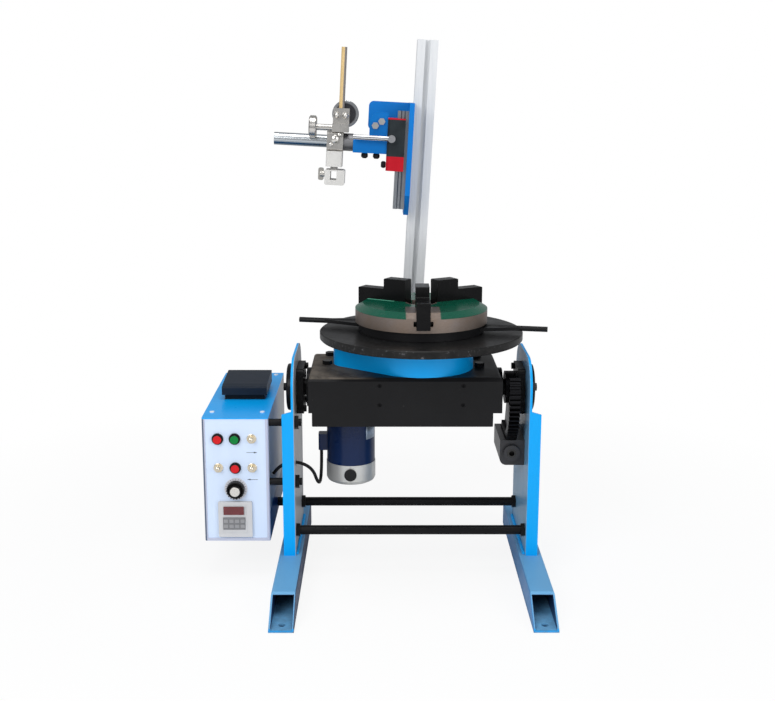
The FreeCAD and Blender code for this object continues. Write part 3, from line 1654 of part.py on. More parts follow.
pedal_base()
pedal_cover()


# ---------------------------------------------------------- torch stand
MAST_SIDE = "(mast_width / 2)"
PLATE_FACE = "(mast_width / 2 + plate_thickness)"
CARRIAGE_FACE = "(mast_width / 2 + plate_thickness + carriage_reach)"


def mast():
    """Slotted aluminium profile, the same T slot in all four sides."""
    body = new_body("mast")
    half = MAST_SIDE
    slab(body, "XY", ("0", "mast_length"), [[
        (f"-{half}", f"-{half}"), (half, f"-{half}"), (half, half), (f"-{half}", half),
    ], ("circle", "0", "0", "mast_slot")])
    mouth, wide = "(mast_slot / 2)", "(mast_slot / 2 + mast_slot_undercut)"
    slot = slab(body, "XY", ("-1", "mast_length + 1"), [[
        (f"-{mouth}", f"-{half} - 1"), (mouth, f"-{half} - 1"),
        (mouth, f"-{half} + mast_lip"), (wide, f"-{half} + mast_lip"),
        (mouth, f"-{half} + mast_slot_depth"), (f"-{mouth}", f"-{half} + mast_slot_depth"),
        (f"-{wide}", f"-{half} + mast_lip"), (f"-{mouth}", f"-{half} + mast_lip"),
    ]], remove=True)
    four = body.newObject("PartDesign::PolarPattern", "four_slots")
    four.Originals = [slot]
    four.Axis = (origin_axis(body, "Z"), [""])
    four.Angle = 360
    four.Occurrences = 4
    body.Tip = four
    turn = Rotation(Vector(0, 1, 0), size("mast_lean"))
    place(body, "mast_x", "mast_front + mast_width / 2", "mast_foot_height", turn)
    return node(body, "mast")


def mast_bracket():
    """Arm behind the housing, with a plate at each end."""
    rear = "(housing_depth / 2)"
    low, high = "mast_arm_low", "(mast_arm_low + mast_arm_size)"
    half = "(mast_arm_size / 2)"
    arm = block((f"mast_x - {half}", f"mast_x + {half}"),
                (rear, "mast_front - mast_plate"), (low, high))
    foot_plate = block((f"mast_x - {half} - mast_arm_foot", f"mast_x + {half} + mast_arm_foot"),
                       (rear, f"{rear} + mast_plate"), (f"{low} - mast_arm_drop", f"{high} + mast_arm_rise"))
    plate = block((f"-{MAST_SIDE} - mast_plate_margin", f"{MAST_SIDE} + mast_plate_margin"),
                  ("mast_front - mast_plate", "mast_front"),
                  ("mast_clamp_low", "mast_clamp_high"))
    return node(join([arm, foot_plate, lean(group([plate], "plate"))]), "mast_bracket")


def tilt_fasteners():
    """Bolts on the housing, the mast clamp and the slide bracket."""
    bolts = case_bolts()
    for w in ("mast_clamp_low + mast_bolt_inset", "mast_clamp_high - mast_bolt_inset"):
        bolt = rod("Y", ("mast_front - mast_plate - bolt_head_height",
                         "mast_front - mast_plate"), ("0", w), "bolt_head")
        bolts.append(lean(group([bolt], "bolt")))
    for w in ("plate_low + plate_bolt_inset", "(plate_low + plate_high) / 2",
              "plate_high - plate_bolt_inset"):
        bolt = rod("X", (f"-{PLATE_FACE} - bolt_head_height", f"-{PLATE_FACE}"),
                   ("mast_front + mast_width / 2", w), "bolt_head")
        bolts.append(lean(group([bolt], "bolt")))
    node(group(bolts, "tilt_fasteners"), "tilt_fasteners")


def slide_bracket():
    """Side plate on the mast, with a wing behind the slide."""
    body = new_body("slide_bracket")
    slab(body, "YZ", (f"-{PLATE_FACE}", f"-{MAST_SIDE}"), [[
        ("plate_front", "plate_low + plate_cut"), ("plate_front + plate_cut", "plate_low"),
        ("mast_front + plate_overlap", "plate_low"),
        ("mast_front + plate_overlap", "plate_high"), ("plate_front", "plate_high"),
    ]])
    start = "(slide_y + carriage_width / 2 + wing_gap)"
    slab(body, "XZ", (start, f"{start} + wing_plate"), [[
        ("-wing_left", "wing_low"), (f"-{PLATE_FACE}", "wing_low"),
        (f"-{PLATE_FACE}", "plate_high"), ("-wing_left", "plate_high"),
    ]])
    fillet(body, "wing_round", lambda edge: along("Y")(edge) and at(edge, "X", "-wing_left"))
    lean(body)
    return node(body, "slide_bracket")


# Shares of the rail's height at which its flanks narrow and widen again.
WAIST_FROM, WAIST_LOW, WAIST_HIGH, WAIST_TO = 0.3, 0.42, 0.62, 0.72


def slide_rail():
    """Profile rail with a waist that the carriage grips."""
    body = new_body("slide_rail")
    base = f"-{PLATE_FACE}"
    top = f"-({PLATE_FACE} + rail_height)"
    half, waist = "(rail_width / 2)", "(rail_width / 2 - rail_waist)"
    a, b, c, d = (f"-({PLATE_FACE} + rail_height * {part})"
                  for part in (WAIST_FROM, WAIST_LOW, WAIST_HIGH, WAIST_TO))
    slab(body, "XY", ("rail_low", "rail_high"), [[
        (base, f"-{half}"), (a, f"-{half}"), (b, f"-{waist}"), (c, f"-{waist}"),
        (d, f"-{half}"), (top, f"-{half}"), (top, half), (d, half),
        (c, waist), (b, waist), (a, half), (base, half),
    ]])
    turn = Rotation(Vector(0, 1, 0), size("mast_lean"))
    place(body, "mast_x", "slide_y", "mast_foot_height", turn)
    return node(body, "slide_rail")


def carriage_piece(label, span):
    """Length of the carriage section, with the rail's channel through it."""
    body = new_body(label)
    low = f"-({PLATE_FACE} + carriage_lift)"
    face = f"-{CARRIAGE_FACE}"
    half = "(carriage_width / 2)"
    slab(body, "XY", span, [[
        (low, f"-{half}"), (low, half), (f"{face} + carriage_bevel", half),
        (face, f"{half} - carriage_bevel"), (face, f"-({half} - carriage_bevel)"),
        (f"{face} + carriage_bevel", f"-{half}"),
    ]])
    wide, waist = "(rail_width / 2 + rail_fit)", "(rail_width / 2 - rail_waist + rail_fit)"
    lip_low = f"-({PLATE_FACE} + rail_height * {WAIST_LOW})"
    lip_high = f"-({PLATE_FACE} + rail_height * {WAIST_HIGH})"
    top = f"-({PLATE_FACE} + rail_height + rail_fit)"
    slab(body, "XY", (f"{span[0]} - 1", f"{span[1]} + 1"), [[
        (f"{low} + 1", f"-{wide}"), (lip_low, f"-{wide}"), (lip_low, f"-{waist}"),
        (lip_high, f"-{waist}"), (lip_high, f"-{wide}"), (top, f"-{wide}"),
        (top, wide), (lip_high, wide), (lip_high, waist), (lip_low, waist),
        (lip_low, wide), (f"{low} + 1", wide),
    ]], remove=True)
    turn = Rotation(Vector(0, 1, 0), size("mast_lean"))
    return place(body, "mast_x", "slide_y", "mast_foot_height", turn)


def slide_carriage():
    """Carriage between its end seal and the rail clamp below it."""
    pieces = [
        carriage_piece("carriage", ("carriage_low", "carriage_high")),
        carriage_piece("end_seal", ("carriage_high", "carriage_high + seal_thickness")),
        carriage_piece("rail_clamp", ("clamp_low", "carriage_low")),
    ]
    return node(group(pieces, "slide_carriage"), "slide_carriage")


def leaning_turned(label, profile, axis, u, y, w):
    """Turned body at a spot given in the stand's own frame."""
    body = turned("turned", profile, axis, u, y, w)
    return lean(group([body], label))


def clamp_knob():
    knob = leaning_turned("clamp_knob", [
        ("-clamp_knob_reach", "0"), ("-clamp_knob_reach", "clamp_knob_size / 2 - knob_round"),
        ("-clamp_knob_reach + knob_round", "clamp_knob_size / 2"),
        ("-knob_round", "clamp_knob_size / 2"), ("-rail_fit", "clamp_knob_size / 3"),
        ("-rail_fit", "0"),
    ], "X", f"-{CARRIAGE_FACE}", "slide_y - clamp_knob_forward", "clamp_knob_w")
    return node(knob, "clamp_knob")


def clamp_arm():
    """Blue block that carries the tube, with an ear bolted to the carriage."""
    half = "(arm_depth / 2)"
    solid = block(("-arm_left", f"-{CARRIAGE_FACE}"), (f"slide_y - {half}", f"slide_y + {half}"),
                  ("arm_low", "arm_high"))
    ear_body = new_body("ear")
    slab(ear_body, "XZ", (f"slide_y - {half}", f"slide_y - {half} + ear_thickness"), [[
        ("-ear_left", "arm_high"), (f"-{CARRIAGE_FACE}", "arm_high"),
        (f"-{CARRIAGE_FACE}", "ear_high"), ("-ear_left + ear_cut", "ear_high"),
        ("-ear_left", "ear_high - ear_cut"),
    ]])
    tools = [rod("X", ("-arm_left - 1", "-arm_bore_end"), ("slide_y", "tube_height"),
                 "tube_size + 2 * tube_fit")]
    for u in ("arm_knob_outer", "arm_knob_inner"):
        tools.append(rod("Z", ("arm_low - 1", "tube_height"), (f"-{u}", "slide_y"),
                         "knob_screw + 2 * shaft_fit"))
    heads = []
    for step in (0, 1):
        u = f"ear_left - ear_bolt_inset - {step} * ear_bolt_apart"
        w = f"ear_high - ear_bolt_drop + {step} * ear_bolt_rise"
        heads.append(hexagon("Y", (f"slide_y - {half} - bolt_head_height", f"slide_y - {half}"),
                             (f"-({u})", w), "bolt_head"))
    whole = cut(join([solid, ear_body]), tools)
    return node(lean(group([whole] + heads, "clamp_arm")), "clamp_arm")


def arm_knobs():
    """Two thumb screws under the arm that lock the tube."""
    gap = "(tube_height - tube_size / 2 - tube_fit)"
    for label, u in (("outer_arm_knob", "arm_knob_outer"), ("inner_arm_knob", "arm_knob_inner")):
        knob = leaning_turned(label, [
            ("arm_low - arm_knob_drop", "0"),
            ("arm_low - arm_knob_drop", "arm_knob_size / 2 - arm_knob_round"),
            ("arm_low - arm_knob_drop + arm_knob_round", "arm_knob_size / 2"),
            ("arm_low - arm_knob_round", "arm_knob_size / 2"),
            ("arm_low - rail_fit", "knob_screw / 2 + knob_neck"),
            ("arm_low - rail_fit", "knob_screw / 2"), (gap, "knob_screw / 2"), (gap, "0"),
        ], "Z", f"-{u}", "slide_y", 0)
        node(knob, label)


def bar_lever():
    """Chrome clamping lever that swings on the carriage's front face."""
    front = "(slide_y - carriage_width / 2)"
    reach = f"({front} - bar_lever_hub)"
    hub = rod("Y", (reach, f"{front} - rail_fit"), ("-bar_lever_pivot", "bar_lever_w"),
              "bar_lever_hub")
    bar = rod("X", ("-bar_lever_left", "-bar_lever_pivot"),
              (f"{front} - bar_lever_stand", "bar_lever_w"), "bar_lever_size")
    return node(lean(group([join([hub, bar])], "bar_lever")), "bar_lever")


def torch_tube():
    """Bright tube with the collar that stops the torch clamp."""
    spot = ("slide_y", "tube_height")
    outside = rod("X", ("-tube_left", "-tube_right"), spot, "tube_size")
    collar = rod("X", ("-head_right + head_gap", "-collar_right - rail_fit"), spot,
                 "collar_size")
    inside = rod("X", ("-tube_left - 1", "-tube_right + 1"), spot, "tube_size - 2 * tube_wall")
    tube = cut(join([outside, collar]), [inside])
    return node(lean(group([tube], "torch_tube")), "torch_tube")


def cross_clamp():
    """Clamp that turns on the tube and holds the rod above it."""
    side = "clamp_ends"
    lower = block(("-head_left", "-head_right"), (f"slide_y - {side}", f"slide_y + {side}"),
                  ("clamp_low_w", "clamp_top"))
    lower = soften(lower, "head_round", along("X"))
    half_u, half_y = "(rod_clamp_width / 2)", "(rod_clamp_depth / 2)"
    upper = block((f"-rod_u - {half_u}", f"-rod_u + {half_u}"),
                  (f"slide_y - {half_y}", f"slide_y + {half_y}"),
                  ("clamp_top", "rod_clamp_top"))
    tools = [
        rod("X", ("-head_left - 1", "-head_right + 1"), ("slide_y", "tube_height"),
            "tube_size + 2 * tube_fit"),
        rod("Z", ("rod_low - rod_fit", "rod_clamp_top + 1"), ("-rod_u", "slide_y"),
            "rod_size + 2 * rod_fit"),
    ]
    carrier = block((f"-rod_u - {half_u}", f"-rod_u + {half_u}"),
                    ("slide_y - side_knob_front - knob_stem / 2 - carrier_wall", "slide_y"),
                    ("clamp_top", "side_knob_w + knob_stem / 2 + carrier_roof"))
    whole = cut(join([lower, upper, carrier]), tools)
    balls = []
    for side in (-1, 1):
        u = f"-rod_u + {side} * ball_spread / 2"
        front = f"slide_y - {half_y}"
        radius = size("ball") / 2
        neck = rod("Y", (f"{front} - ball_neck", front), (u, "ball_height"), "ball / 2")
        ball = add("Part::Sphere", "ball")
        bind(ball, "Radius", "ball / 2")
        place(ball, u, f"{front} - ball_stand - {radius}", "ball_height")
        balls.append(join([neck, ball]))
    return node(lean(group([whole] + balls, "cross_clamp")), "cross_clamp")


def torch_rod():
    bar = rod("Z", ("rod_low", "rod_high"), ("-rod_u", "slide_y"), "rod_size")
    return node(lean(group([bar], "torch_rod")), "torch_rod")


def side_knobs():
    """Knob beside the rod clamp and the larger disc knob behind it."""
    stem_end = "-(rod_u + rod_clamp_width / 2) - rail_fit"
    knob = leaning_turned("side_knob", [
        ("-side_knob_left", "0"), ("-side_knob_left", "side_knob_size / 2 - knob_round"),
        ("-side_knob_left + knob_round", "side_knob_size / 2"),
        ("-side_knob_left + side_knob_width - knob_round", "side_knob_size / 2"),
        ("-side_knob_left + side_knob_width", "side_knob_size / 2 - knob_round"),
        ("-side_knob_left + side_knob_width", "knob_stem / 2"),
        (stem_end, "knob_stem / 2"), (stem_end, "0"),
    ], "X", 0, "slide_y - side_knob_front", "side_knob_w")
    node(knob, "side_knob")
    rear = "(rod_clamp_depth / 2 + rail_fit)"
    near = f"({rear} + disc_knob_stand)"
    far = f"({near} + disc_knob_thickness)"
    disc = leaning_turned("disc_knob", [
        (rear, "0"), (rear, "knob_stem / 2"), (near, "knob_stem / 2"),
        (near, "disc_knob_size / 2 - disc_knob_round"),
        (f"{near} + disc_knob_round", "disc_knob_size / 2"),
        (f"{far} - disc_knob_round", "disc_knob_size / 2"),
        (far, "disc_knob_size / 2 - disc_knob_round"), (far, "0"),
    ], "Y", "-disc_knob_u", "slide_y", "disc_knob_w")
    node(disc, "disc_knob")


def torch_head():
    """Swivelling block under the clamp and the torch grip below it."""
    middle = "(head_left + head_right) / 2"
    head = block(("-head_left", "-head_right"), ("slide_y - head_front", "slide_y + head_rear"),
                 ("head_low", "clamp_low_w - head_gap"))
    head = soften(head, "head_round", along("Z"))
    neck = rod("Z", ("grip_top", "head_low"), (f"-{middle}", "slide_y - neck_forward"), "grip_neck")
    grip = block(("-grip_left", "-grip_right"), ("slide_y - head_front", "slide_y + head_rear"),
                 ("grip_low", "grip_top"))
    grip = soften(grip, "head_round", along("Y"))
    slot = block((f"-{middle} - grip_slot / 2", f"-{middle} + grip_slot / 2"),
                 ("slide_y - head_front - 1", "slide_y + head_rear + 1"),
                 ("grip_slot_low", "grip_top - grip_roof"))
    hole = rod("X", ("-grip_left - 1", f"-{middle}"), ("slide_y - wing_screw_forward", "wing_screw_w"),
               "knob_screw + 2 * shaft_fit")
    return node(lean(group([join([head, cut(join([grip, neck]), [slot, hole])])],
                           "torch_head")), "torch_head")


def wing_screw():
    """Winged screw that closes the torch grip."""
    middle = "(head_left + head_right) / 2"
    spot = ("slide_y - wing_screw_forward", "wing_screw_w")
    stem = rod("X", ("-grip_left - wing_reach + 3", f"-{middle} - grip_slot / 2"), spot,
               "knob_screw")
    wings = block(("-grip_left - wing_reach", "-grip_left - 2"),
                  ("slide_y - wing_screw_forward - wing_thickness / 2",
                   "slide_y - wing_screw_forward + wing_thickness / 2"),
                  ("wing_screw_w - wing_width / 2", "wing_screw_w + wing_width / 2"))
    wings = soften(wings, "wing_thickness", along("Y"))
    hub = rod("X", ("-grip_left - wing_reach + 3", "-grip_left - rail_fit"), spot, "knob_stem")
    return node(lean(group([join([stem, wings, hub])], "wing_screw")), "wing_screw")


mast()
mast_bracket()
tilt_fasteners()
slide_bracket()
slide_rail()
slide_carriage()
clamp_knob()
clamp_arm()
arm_knobs()
bar_lever()
torch_tube()
cross_clamp()
torch_rod()
side_knobs()
torch_head()
wing_screw()


# --------------------------------------------------------------- output
doc.recompute()
for obj in doc.Objects:
    if "Invalid" in obj.State or "Error" in obj.State:
        raise RuntimeError(f"{obj.Label} ({obj.Name}) failed: {obj.State}")
for obj in NODES:
    if obj.Shape.isNull() or not obj.Shape.isValid():
        raise RuntimeError(f"{obj.Label} has no valid shape")
# The drawing starts under the tilt axis, each file midway between the foot bolts.
TO_FOOT_BOLTS = Vector(0, size("foot_front + foot_toe - foot_hole_back"), 0)
os.makedirs("parts", exist_ok=True)
for obj in NODES:
    obj.Shape.translated(TO_FOOT_BOLTS).exportStep(f"parts/{obj.Label}.step")
    print(obj.Label, len(obj.Shape.Solids), round(obj.Shape.Volume))
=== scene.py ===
"""Finish of a small tilting welding positioner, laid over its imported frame."""
import math
import bpy
import bmesh
from bpy.props import FloatProperty, FloatVectorProperty, IntProperty, PointerProperty
from mathutils import Matrix, Vector


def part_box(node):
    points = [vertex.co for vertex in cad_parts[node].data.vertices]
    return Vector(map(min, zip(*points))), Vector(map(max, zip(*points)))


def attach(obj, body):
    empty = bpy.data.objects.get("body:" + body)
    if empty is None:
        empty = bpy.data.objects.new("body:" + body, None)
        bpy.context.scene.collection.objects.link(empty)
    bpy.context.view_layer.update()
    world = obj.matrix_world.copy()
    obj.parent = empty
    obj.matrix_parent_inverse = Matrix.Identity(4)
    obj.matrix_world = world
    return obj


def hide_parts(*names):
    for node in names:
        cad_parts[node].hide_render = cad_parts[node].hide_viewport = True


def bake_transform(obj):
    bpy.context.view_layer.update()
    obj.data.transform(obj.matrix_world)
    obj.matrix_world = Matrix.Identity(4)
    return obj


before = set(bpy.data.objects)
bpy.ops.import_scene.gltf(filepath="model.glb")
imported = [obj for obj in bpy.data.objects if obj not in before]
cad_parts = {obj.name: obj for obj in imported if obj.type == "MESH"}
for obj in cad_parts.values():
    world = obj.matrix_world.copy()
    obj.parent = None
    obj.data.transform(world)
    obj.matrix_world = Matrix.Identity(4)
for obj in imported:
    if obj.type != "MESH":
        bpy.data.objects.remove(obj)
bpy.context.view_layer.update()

bl_info = {
    "name": "Welding Positioner Finish",
    "version": (1, 0, 0),
    "blender": (4, 5, 0),
    "location": "3D View > Sidebar > Positioner",
    "description": "Paint, metal, plastic and small fittings of a welding positioner",
    "category": "Object",
}

MM = 0.001
LEAN = math.radians(3.0)


def box(name):
    low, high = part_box(name)
    return Vector(low), Vector(high)


TILT_Y = sum(corner.y for corner in box("tilt_housing")) / 2
STAND_FOOT = Vector((0.0015, TILT_Y, 0.24))
STAND_ALONG = Vector((math.sin(LEAN), 0, math.cos(LEAN)))
STAND_ACROSS = Vector((math.cos(LEAN), 0, -math.sin(LEAN)))


def middle(name):
    low, high = box(name)
    return (low + high) / 2


# ------------------------------------------------------------------ shader maths
class Field:
    """A socket whose sums, products and clamps add Math nodes."""

    def __init__(self, finish, socket):
        self.finish = finish
        self.socket = socket

    def _math(self, operation, *values, clamp=False):
        settings = {"operation": operation, "use_clamp": clamp}
        node = self.finish.node("ShaderNodeMath", settings, dict(enumerate(values)))
        return Field(self.finish, node.outputs[0])

    def __add__(self, other):
        return self._math("ADD", self, other)

    def __sub__(self, other):
        return self._math("SUBTRACT", self, other)

    def __rsub__(self, other):
        return self._math("SUBTRACT", other, self)

    def __mul__(self, other):
        return self._math("MULTIPLY", self, other)

    __radd__ = __add__
    __rmul__ = __mul__

    def above(self, edge, soft):
        """0 below the edge, 1 above it, over a soft width."""
        return self._math("MULTIPLY", self - (edge - soft / 2), 1 / soft, clamp=True)

    def below(self, edge, soft):
        return 1 - self.above(edge, soft)

    def size(self):
        return self._math("ABSOLUTE", self)

    def most(self, other):
        return self._math("MAXIMUM", self, other)

    def power(self, exponent):
        return self._math("POWER", self, exponent)


class Finish:
    """One material: a principled shader and the nodes that feed it."""

    def __init__(self, name, colour, roughness=0.5, metallic=0.0, coat=0.0):
        self.material = bpy.data.materials.new(name)
        self.material.use_nodes = True
        self.tree = self.material.node_tree
        self.tree.nodes.clear()
        self.output = self.tree.nodes.new("ShaderNodeOutputMaterial")
        self.shader = self.tree.nodes.new("ShaderNodeBsdfPrincipled")
        self.tree.links.new(self.shader.outputs[0], self.output.inputs["Surface"])
        self.material.diffuse_color = (*colour[:3], 1)
        self.set("Base Color", (*colour, 1))
        self.set("Roughness", roughness)
        self.set("Metallic", metallic)
        self.set("Coat Weight", coat)
        self.set("Coat Roughness", 0.15)
        self.set("Specular IOR Level", 0.12 if max(colour) < 0.03 else 0.2)
        self.coords = self.tree.nodes.new("ShaderNodeTexCoord").outputs["Object"]
        self.parts = self.tree.nodes.new("ShaderNodeSeparateXYZ")
        self.tree.links.new(self.coords, self.parts.inputs[0])
        self.x, self.y, self.z = (Field(self, out) for out in self.parts.outputs)

    def link(self, value, socket):
        if isinstance(value, Field):
            value = value.socket
        if isinstance(value, bpy.types.NodeSocket):
            self.tree.links.new(value, socket)
        else:
            socket.default_value = value

    def set(self, name, value):
        self.link(value, self.shader.inputs[name])
        return self

    def node(self, kind, settings=None, sockets=None):
        node = self.tree.nodes.new(kind)
        for key, value in (settings or {}).items():
            setattr(node, key, value)
        for key, value in (sockets or {}).items():
            self.link(value, node.inputs[key])
        return node

    def noise(self, scale, detail=3, roughness=0.55, stretch=None):
        vector = self.coords
        if stretch:
            mapping = self.node("ShaderNodeMapping", None,
                                {"Vector": self.coords, "Scale": stretch})
            vector = mapping.outputs[0]
        made = self.node("ShaderNodeTexNoise", None, {
            "Vector": vector, "Scale": scale, "Detail": detail, "Roughness": roughness})
        return Field(self, made.outputs["Fac"])

    def mix(self, mask, first, second):
        """First where the mask is 0, second where it is 1."""
        made = self.node("ShaderNodeMix", {"data_type": "RGBA"}, {"Factor": mask})
        colours = [socket for socket in made.inputs if socket.type == "RGBA"]
        for socket, value in zip(colours, (first, second)):
            if isinstance(value, (tuple, list)) and len(value) == 3:
                value = (*value, 1)
            self.link(value, socket)
        return [socket for socket in made.outputs if socket.type == "RGBA"][0]

    def mottle(self, mask, colour, dark, light):
        """One colour, darker where the mask is 0 and lighter where it is 1."""
        return self.mix(mask, shade(colour, dark), shade(colour, light))

    def done(self, colour, roughness, height, depth):
        """Set what varies over the surface; the height is raised by a depth in metres."""
        self.set("Base Color", colour)
        self.set("Roughness", roughness)
        made = self.node("ShaderNodeBump", None, {
            "Height": height, "Distance": depth, "Strength": 1.0})
        return self.set("Normal", made.outputs[0])

    def band(self, field, centre, half, soft):
        return (field - centre).size().below(half, soft)

    def disc(self, a, b, centre, radius, soft):
        """1 inside a circle in the plane of two coordinates."""
        across = (a - centre[0]).power(2.0) + (b - centre[1]).power(2.0)
        return across.power(0.5).below(radius, soft)

    def front_disc(self, spot, radius, soft):
        """1 inside a circle seen from the front."""
        return self.disc(self.x, self.z, (spot.x, spot.z), radius, soft)

    def top_disc(self, spot, radius, soft):
        """1 inside a circle seen from above."""
        return self.disc(self.x, self.y, (spot.x, spot.y), radius, soft)


def shade(colour, factor):
    return tuple(min(1.0, part * factor) for part in colour)


# ------------------------------------------------------------------ finishes
def painted(name, colour, roughness=0.35, wear=0.25, coat=0.25):
    """Sprayed paint: slight orange peel, uneven gloss, rubs and small chips."""
    finish = Finish(name, colour, roughness, coat=coat * 0.3)
    cloud = finish.noise(9, 4)
    base = finish.mottle(cloud, colour, 0.94, 1.06)
    rub = finish.noise(28, 6, 0.7).above(0.66, 0.12) * wear
    base = finish.mix(rub, base, shade(colour, 1.9) if max(colour) < 0.2 else shade(colour, 0.55))
    chips = finish.noise(170, 3, 0.6).above(0.76, 0.03) * (wear * 1.6)
    base = finish.mix(chips, base, (0.4, 0.39, 0.37))
    return finish.done(base, finish.noise(40, 3) * 0.22 + (roughness - 0.1) + rub * 0.3,
                       finish.noise(420, 2) + chips * -2.0, 0.00012)


def button_finish(name, node, colour):
    """Coloured cap inside a black moulded rim."""
    finish = Finish(name, colour, 0.25)
    spot = middle(node)
    cap = finish.front_disc(spot, 6.2 * MM, 0.3 * MM)
    cloud = finish.noise(70, 3)
    tint = finish.mottle(cloud, colour, 0.85, 1.15)
    return finish.done(finish.mix(cap, (0.008, 0.008, 0.009), tint),
                       cloud * 0.15 + 0.18, finish.noise(700), 0.00004)


def fastener_finish():
    """Black nuts on the frame and bright screws in the lid."""
    lid = box("box_lid")
    finish = Finish("nut_black", (0.006, 0.006, 0.007), 0.3)
    bright = finish.x.below(lid[1].x, 1 * MM) * finish.z.above(lid[1].z - 2 * MM, 0.3 * MM)
    cloud = finish.noise(60, 4)
    black = finish.mix(cloud, (0.004, 0.004, 0.005), (0.014, 0.014, 0.014))
    return finish.done(finish.mix(bright, black, (0.82, 0.84, 0.86)),
                       cloud * 0.2 + 0.22, finish.noise(500), 0.00006)


def arm_finish(colour):
    """Blue block with two bright bolts on its ear."""
    low = box("clamp_arm")[0]
    finish = Finish("arm_blue", colour, 0.35)
    bolt = finish.y.below(low.y + 3.6 * MM, 0.2 * MM)
    cloud = finish.noise(20, 4)
    blue = finish.mottle(cloud, colour, 0.85, 1.1)
    finish.set("Metallic", bolt)
    return finish.done(finish.mix(bolt, blue, (0.5, 0.5, 0.5)),
                       cloud * 0.2 + 0.22, finish.noise(420), 0.0001)


def disc_knob_finish(centre):
    """Dark turned disc with a bright rim."""
    finish = Finish("disc_knob_steel", (0.1, 0.1, 0.11), 0.25, metallic=1.0)
    dark = finish.front_disc(centre, 17 * MM, 1.5 * MM)
    haze = finish.noise(60, 4)
    rim = finish.mix(haze, (0.34, 0.35, 0.37), (0.5, 0.51, 0.53))
    face = finish.mix(haze, (0.05, 0.05, 0.06), (0.11, 0.11, 0.12))
    return finish.done(finish.mix(dark, rim, face),
                       haze * 0.15 + 0.15, finish.noise(300), 0.00004)


def black_enamel(name, tint=(0.005, 0.005, 0.006), roughness=0.38):
    finish = Finish(name, tint, roughness, coat=0.03)
    dust = finish.noise(16, 6, 0.7).above(0.62, 0.3)
    base = finish.mix(dust * 0.25, tint, (0.02, 0.019, 0.018))
    nick = finish.noise(210, 3).above(0.75, 0.03)
    return finish.done(
        finish.mix(nick * 0.25, base, (0.15, 0.145, 0.14)),
        finish.noise(55) * 0.25 + (roughness - 0.12), finish.noise(500, 2), 0.0001)


def machined(name, colour=(0.52, 0.5, 0.47), roughness=0.3, rust=0.2):
    """Turned or milled steel with fine tool lines and a little tarnish."""
    finish = Finish(name, colour, roughness, metallic=1.0)
    lines = finish.noise(700, 2, 0.5)
    tarnish = finish.noise(18, 5, 0.65).above(0.55, 0.3) * rust
    base = finish.mottle(lines, colour, 0.82, 1.15)
    return finish.done(finish.mix(tarnish, base, (0.23, 0.16, 0.11)),
                       lines * 0.2 + roughness - 0.08 + tarnish * 0.4, lines, 0.00008)


def chromed(name, colour=(0.74, 0.75, 0.77), roughness=0.12):
    finish = Finish(name, colour, roughness, metallic=1.0)
    haze = finish.noise(60, 4)
    return finish.done(finish.mix(haze, shade(colour, 0.88), colour),
                       haze * 0.14 + roughness - 0.05, finish.noise(300), 0.00003)


def moulded(name, colour, roughness=0.45, grain=0.0001, scale=900.0):
    """Plastic with a fine moulded grain and dull handled patches."""
    finish = Finish(name, colour, roughness)
    patch = finish.noise(24, 4)
    return finish.done(finish.mottle(patch, colour, 0.85, 1.2),
                       patch * 0.2 + roughness - 0.1, finish.noise(scale, 2), grain)


def cast_alloy(name, colour):
    """Cast metal, a little cloudy."""
    finish = Finish(name, colour, 0.42, metallic=0.75)
    cloud = finish.noise(30, 5)
    return finish.done(finish.mottle(cloud, colour, 0.85, 1.15),
                       cloud * 0.2 + 0.32, finish.noise(600, 3), 0.00015)


def chuck_finish(colour):
    """Green enamel on the chuck's top; bare steel rim and front landing; a painted highlight as a
    light green band beside one jaw.
    """
    top = box("chuck_body")[1].z
    centre = middle("round_table")
    finish = Finish("chuck_enamel", colour, 0.25, coat=0.2)
    rim = top - 8 * MM
    painted_top = finish.z.above(rim, 0.6 * MM)
    front = finish.band(finish.x, centre.x, 25 * MM, 1.5 * MM)
    front = front * finish.y.below(centre.y - 38 * MM, 1 * MM)
    bore = finish.top_disc(centre, 24 * MM, 1 * MM)
    mask = painted_top * (1 - front) * (1 - bore)
    lines = finish.noise(260.0, 3.0, 0.5, (1, 1, 9))
    steel = finish.mix(lines, (0.17, 0.14, 0.125), (0.32, 0.275, 0.25))
    tarnish = finish.noise(22, 5, 0.7).above(0.52, 0.25)
    steel = finish.mix(tarnish * 0.5, steel, (0.24, 0.17, 0.12))
    cloud = finish.noise(14, 4)
    green = finish.mottle(cloud, colour, 0.9, 1.1)
    away = finish.x - centre.x, finish.y - centre.y
    along = away[0] * -0.866 + away[1] * 0.5
    beside = away[0] * -0.5 + away[1] * -0.866
    # Painted highlight: a light green band beside one jaw.
    painted_highlight_strip = finish.band(beside, 13 * MM, 2.6 * MM, 0.4 * MM)
    painted_highlight_strip = painted_highlight_strip * along.above(40 * MM, 1 * MM) * along.below(97 * MM, 1 * MM)
    green = finish.mix(painted_highlight_strip, green, (0.14, 0.5, 0.34))
    finish.set("Metallic", 1 - mask)
    finish.set("Coat Weight", mask * 0.2)
    return finish.done(
        finish.mix(mask, steel, green), finish.noise(50) * 0.2 + 0.18 + (1 - mask) * 0.18,
        lines * (1 - mask) + finish.noise(200) * 0.1, 0.00006)


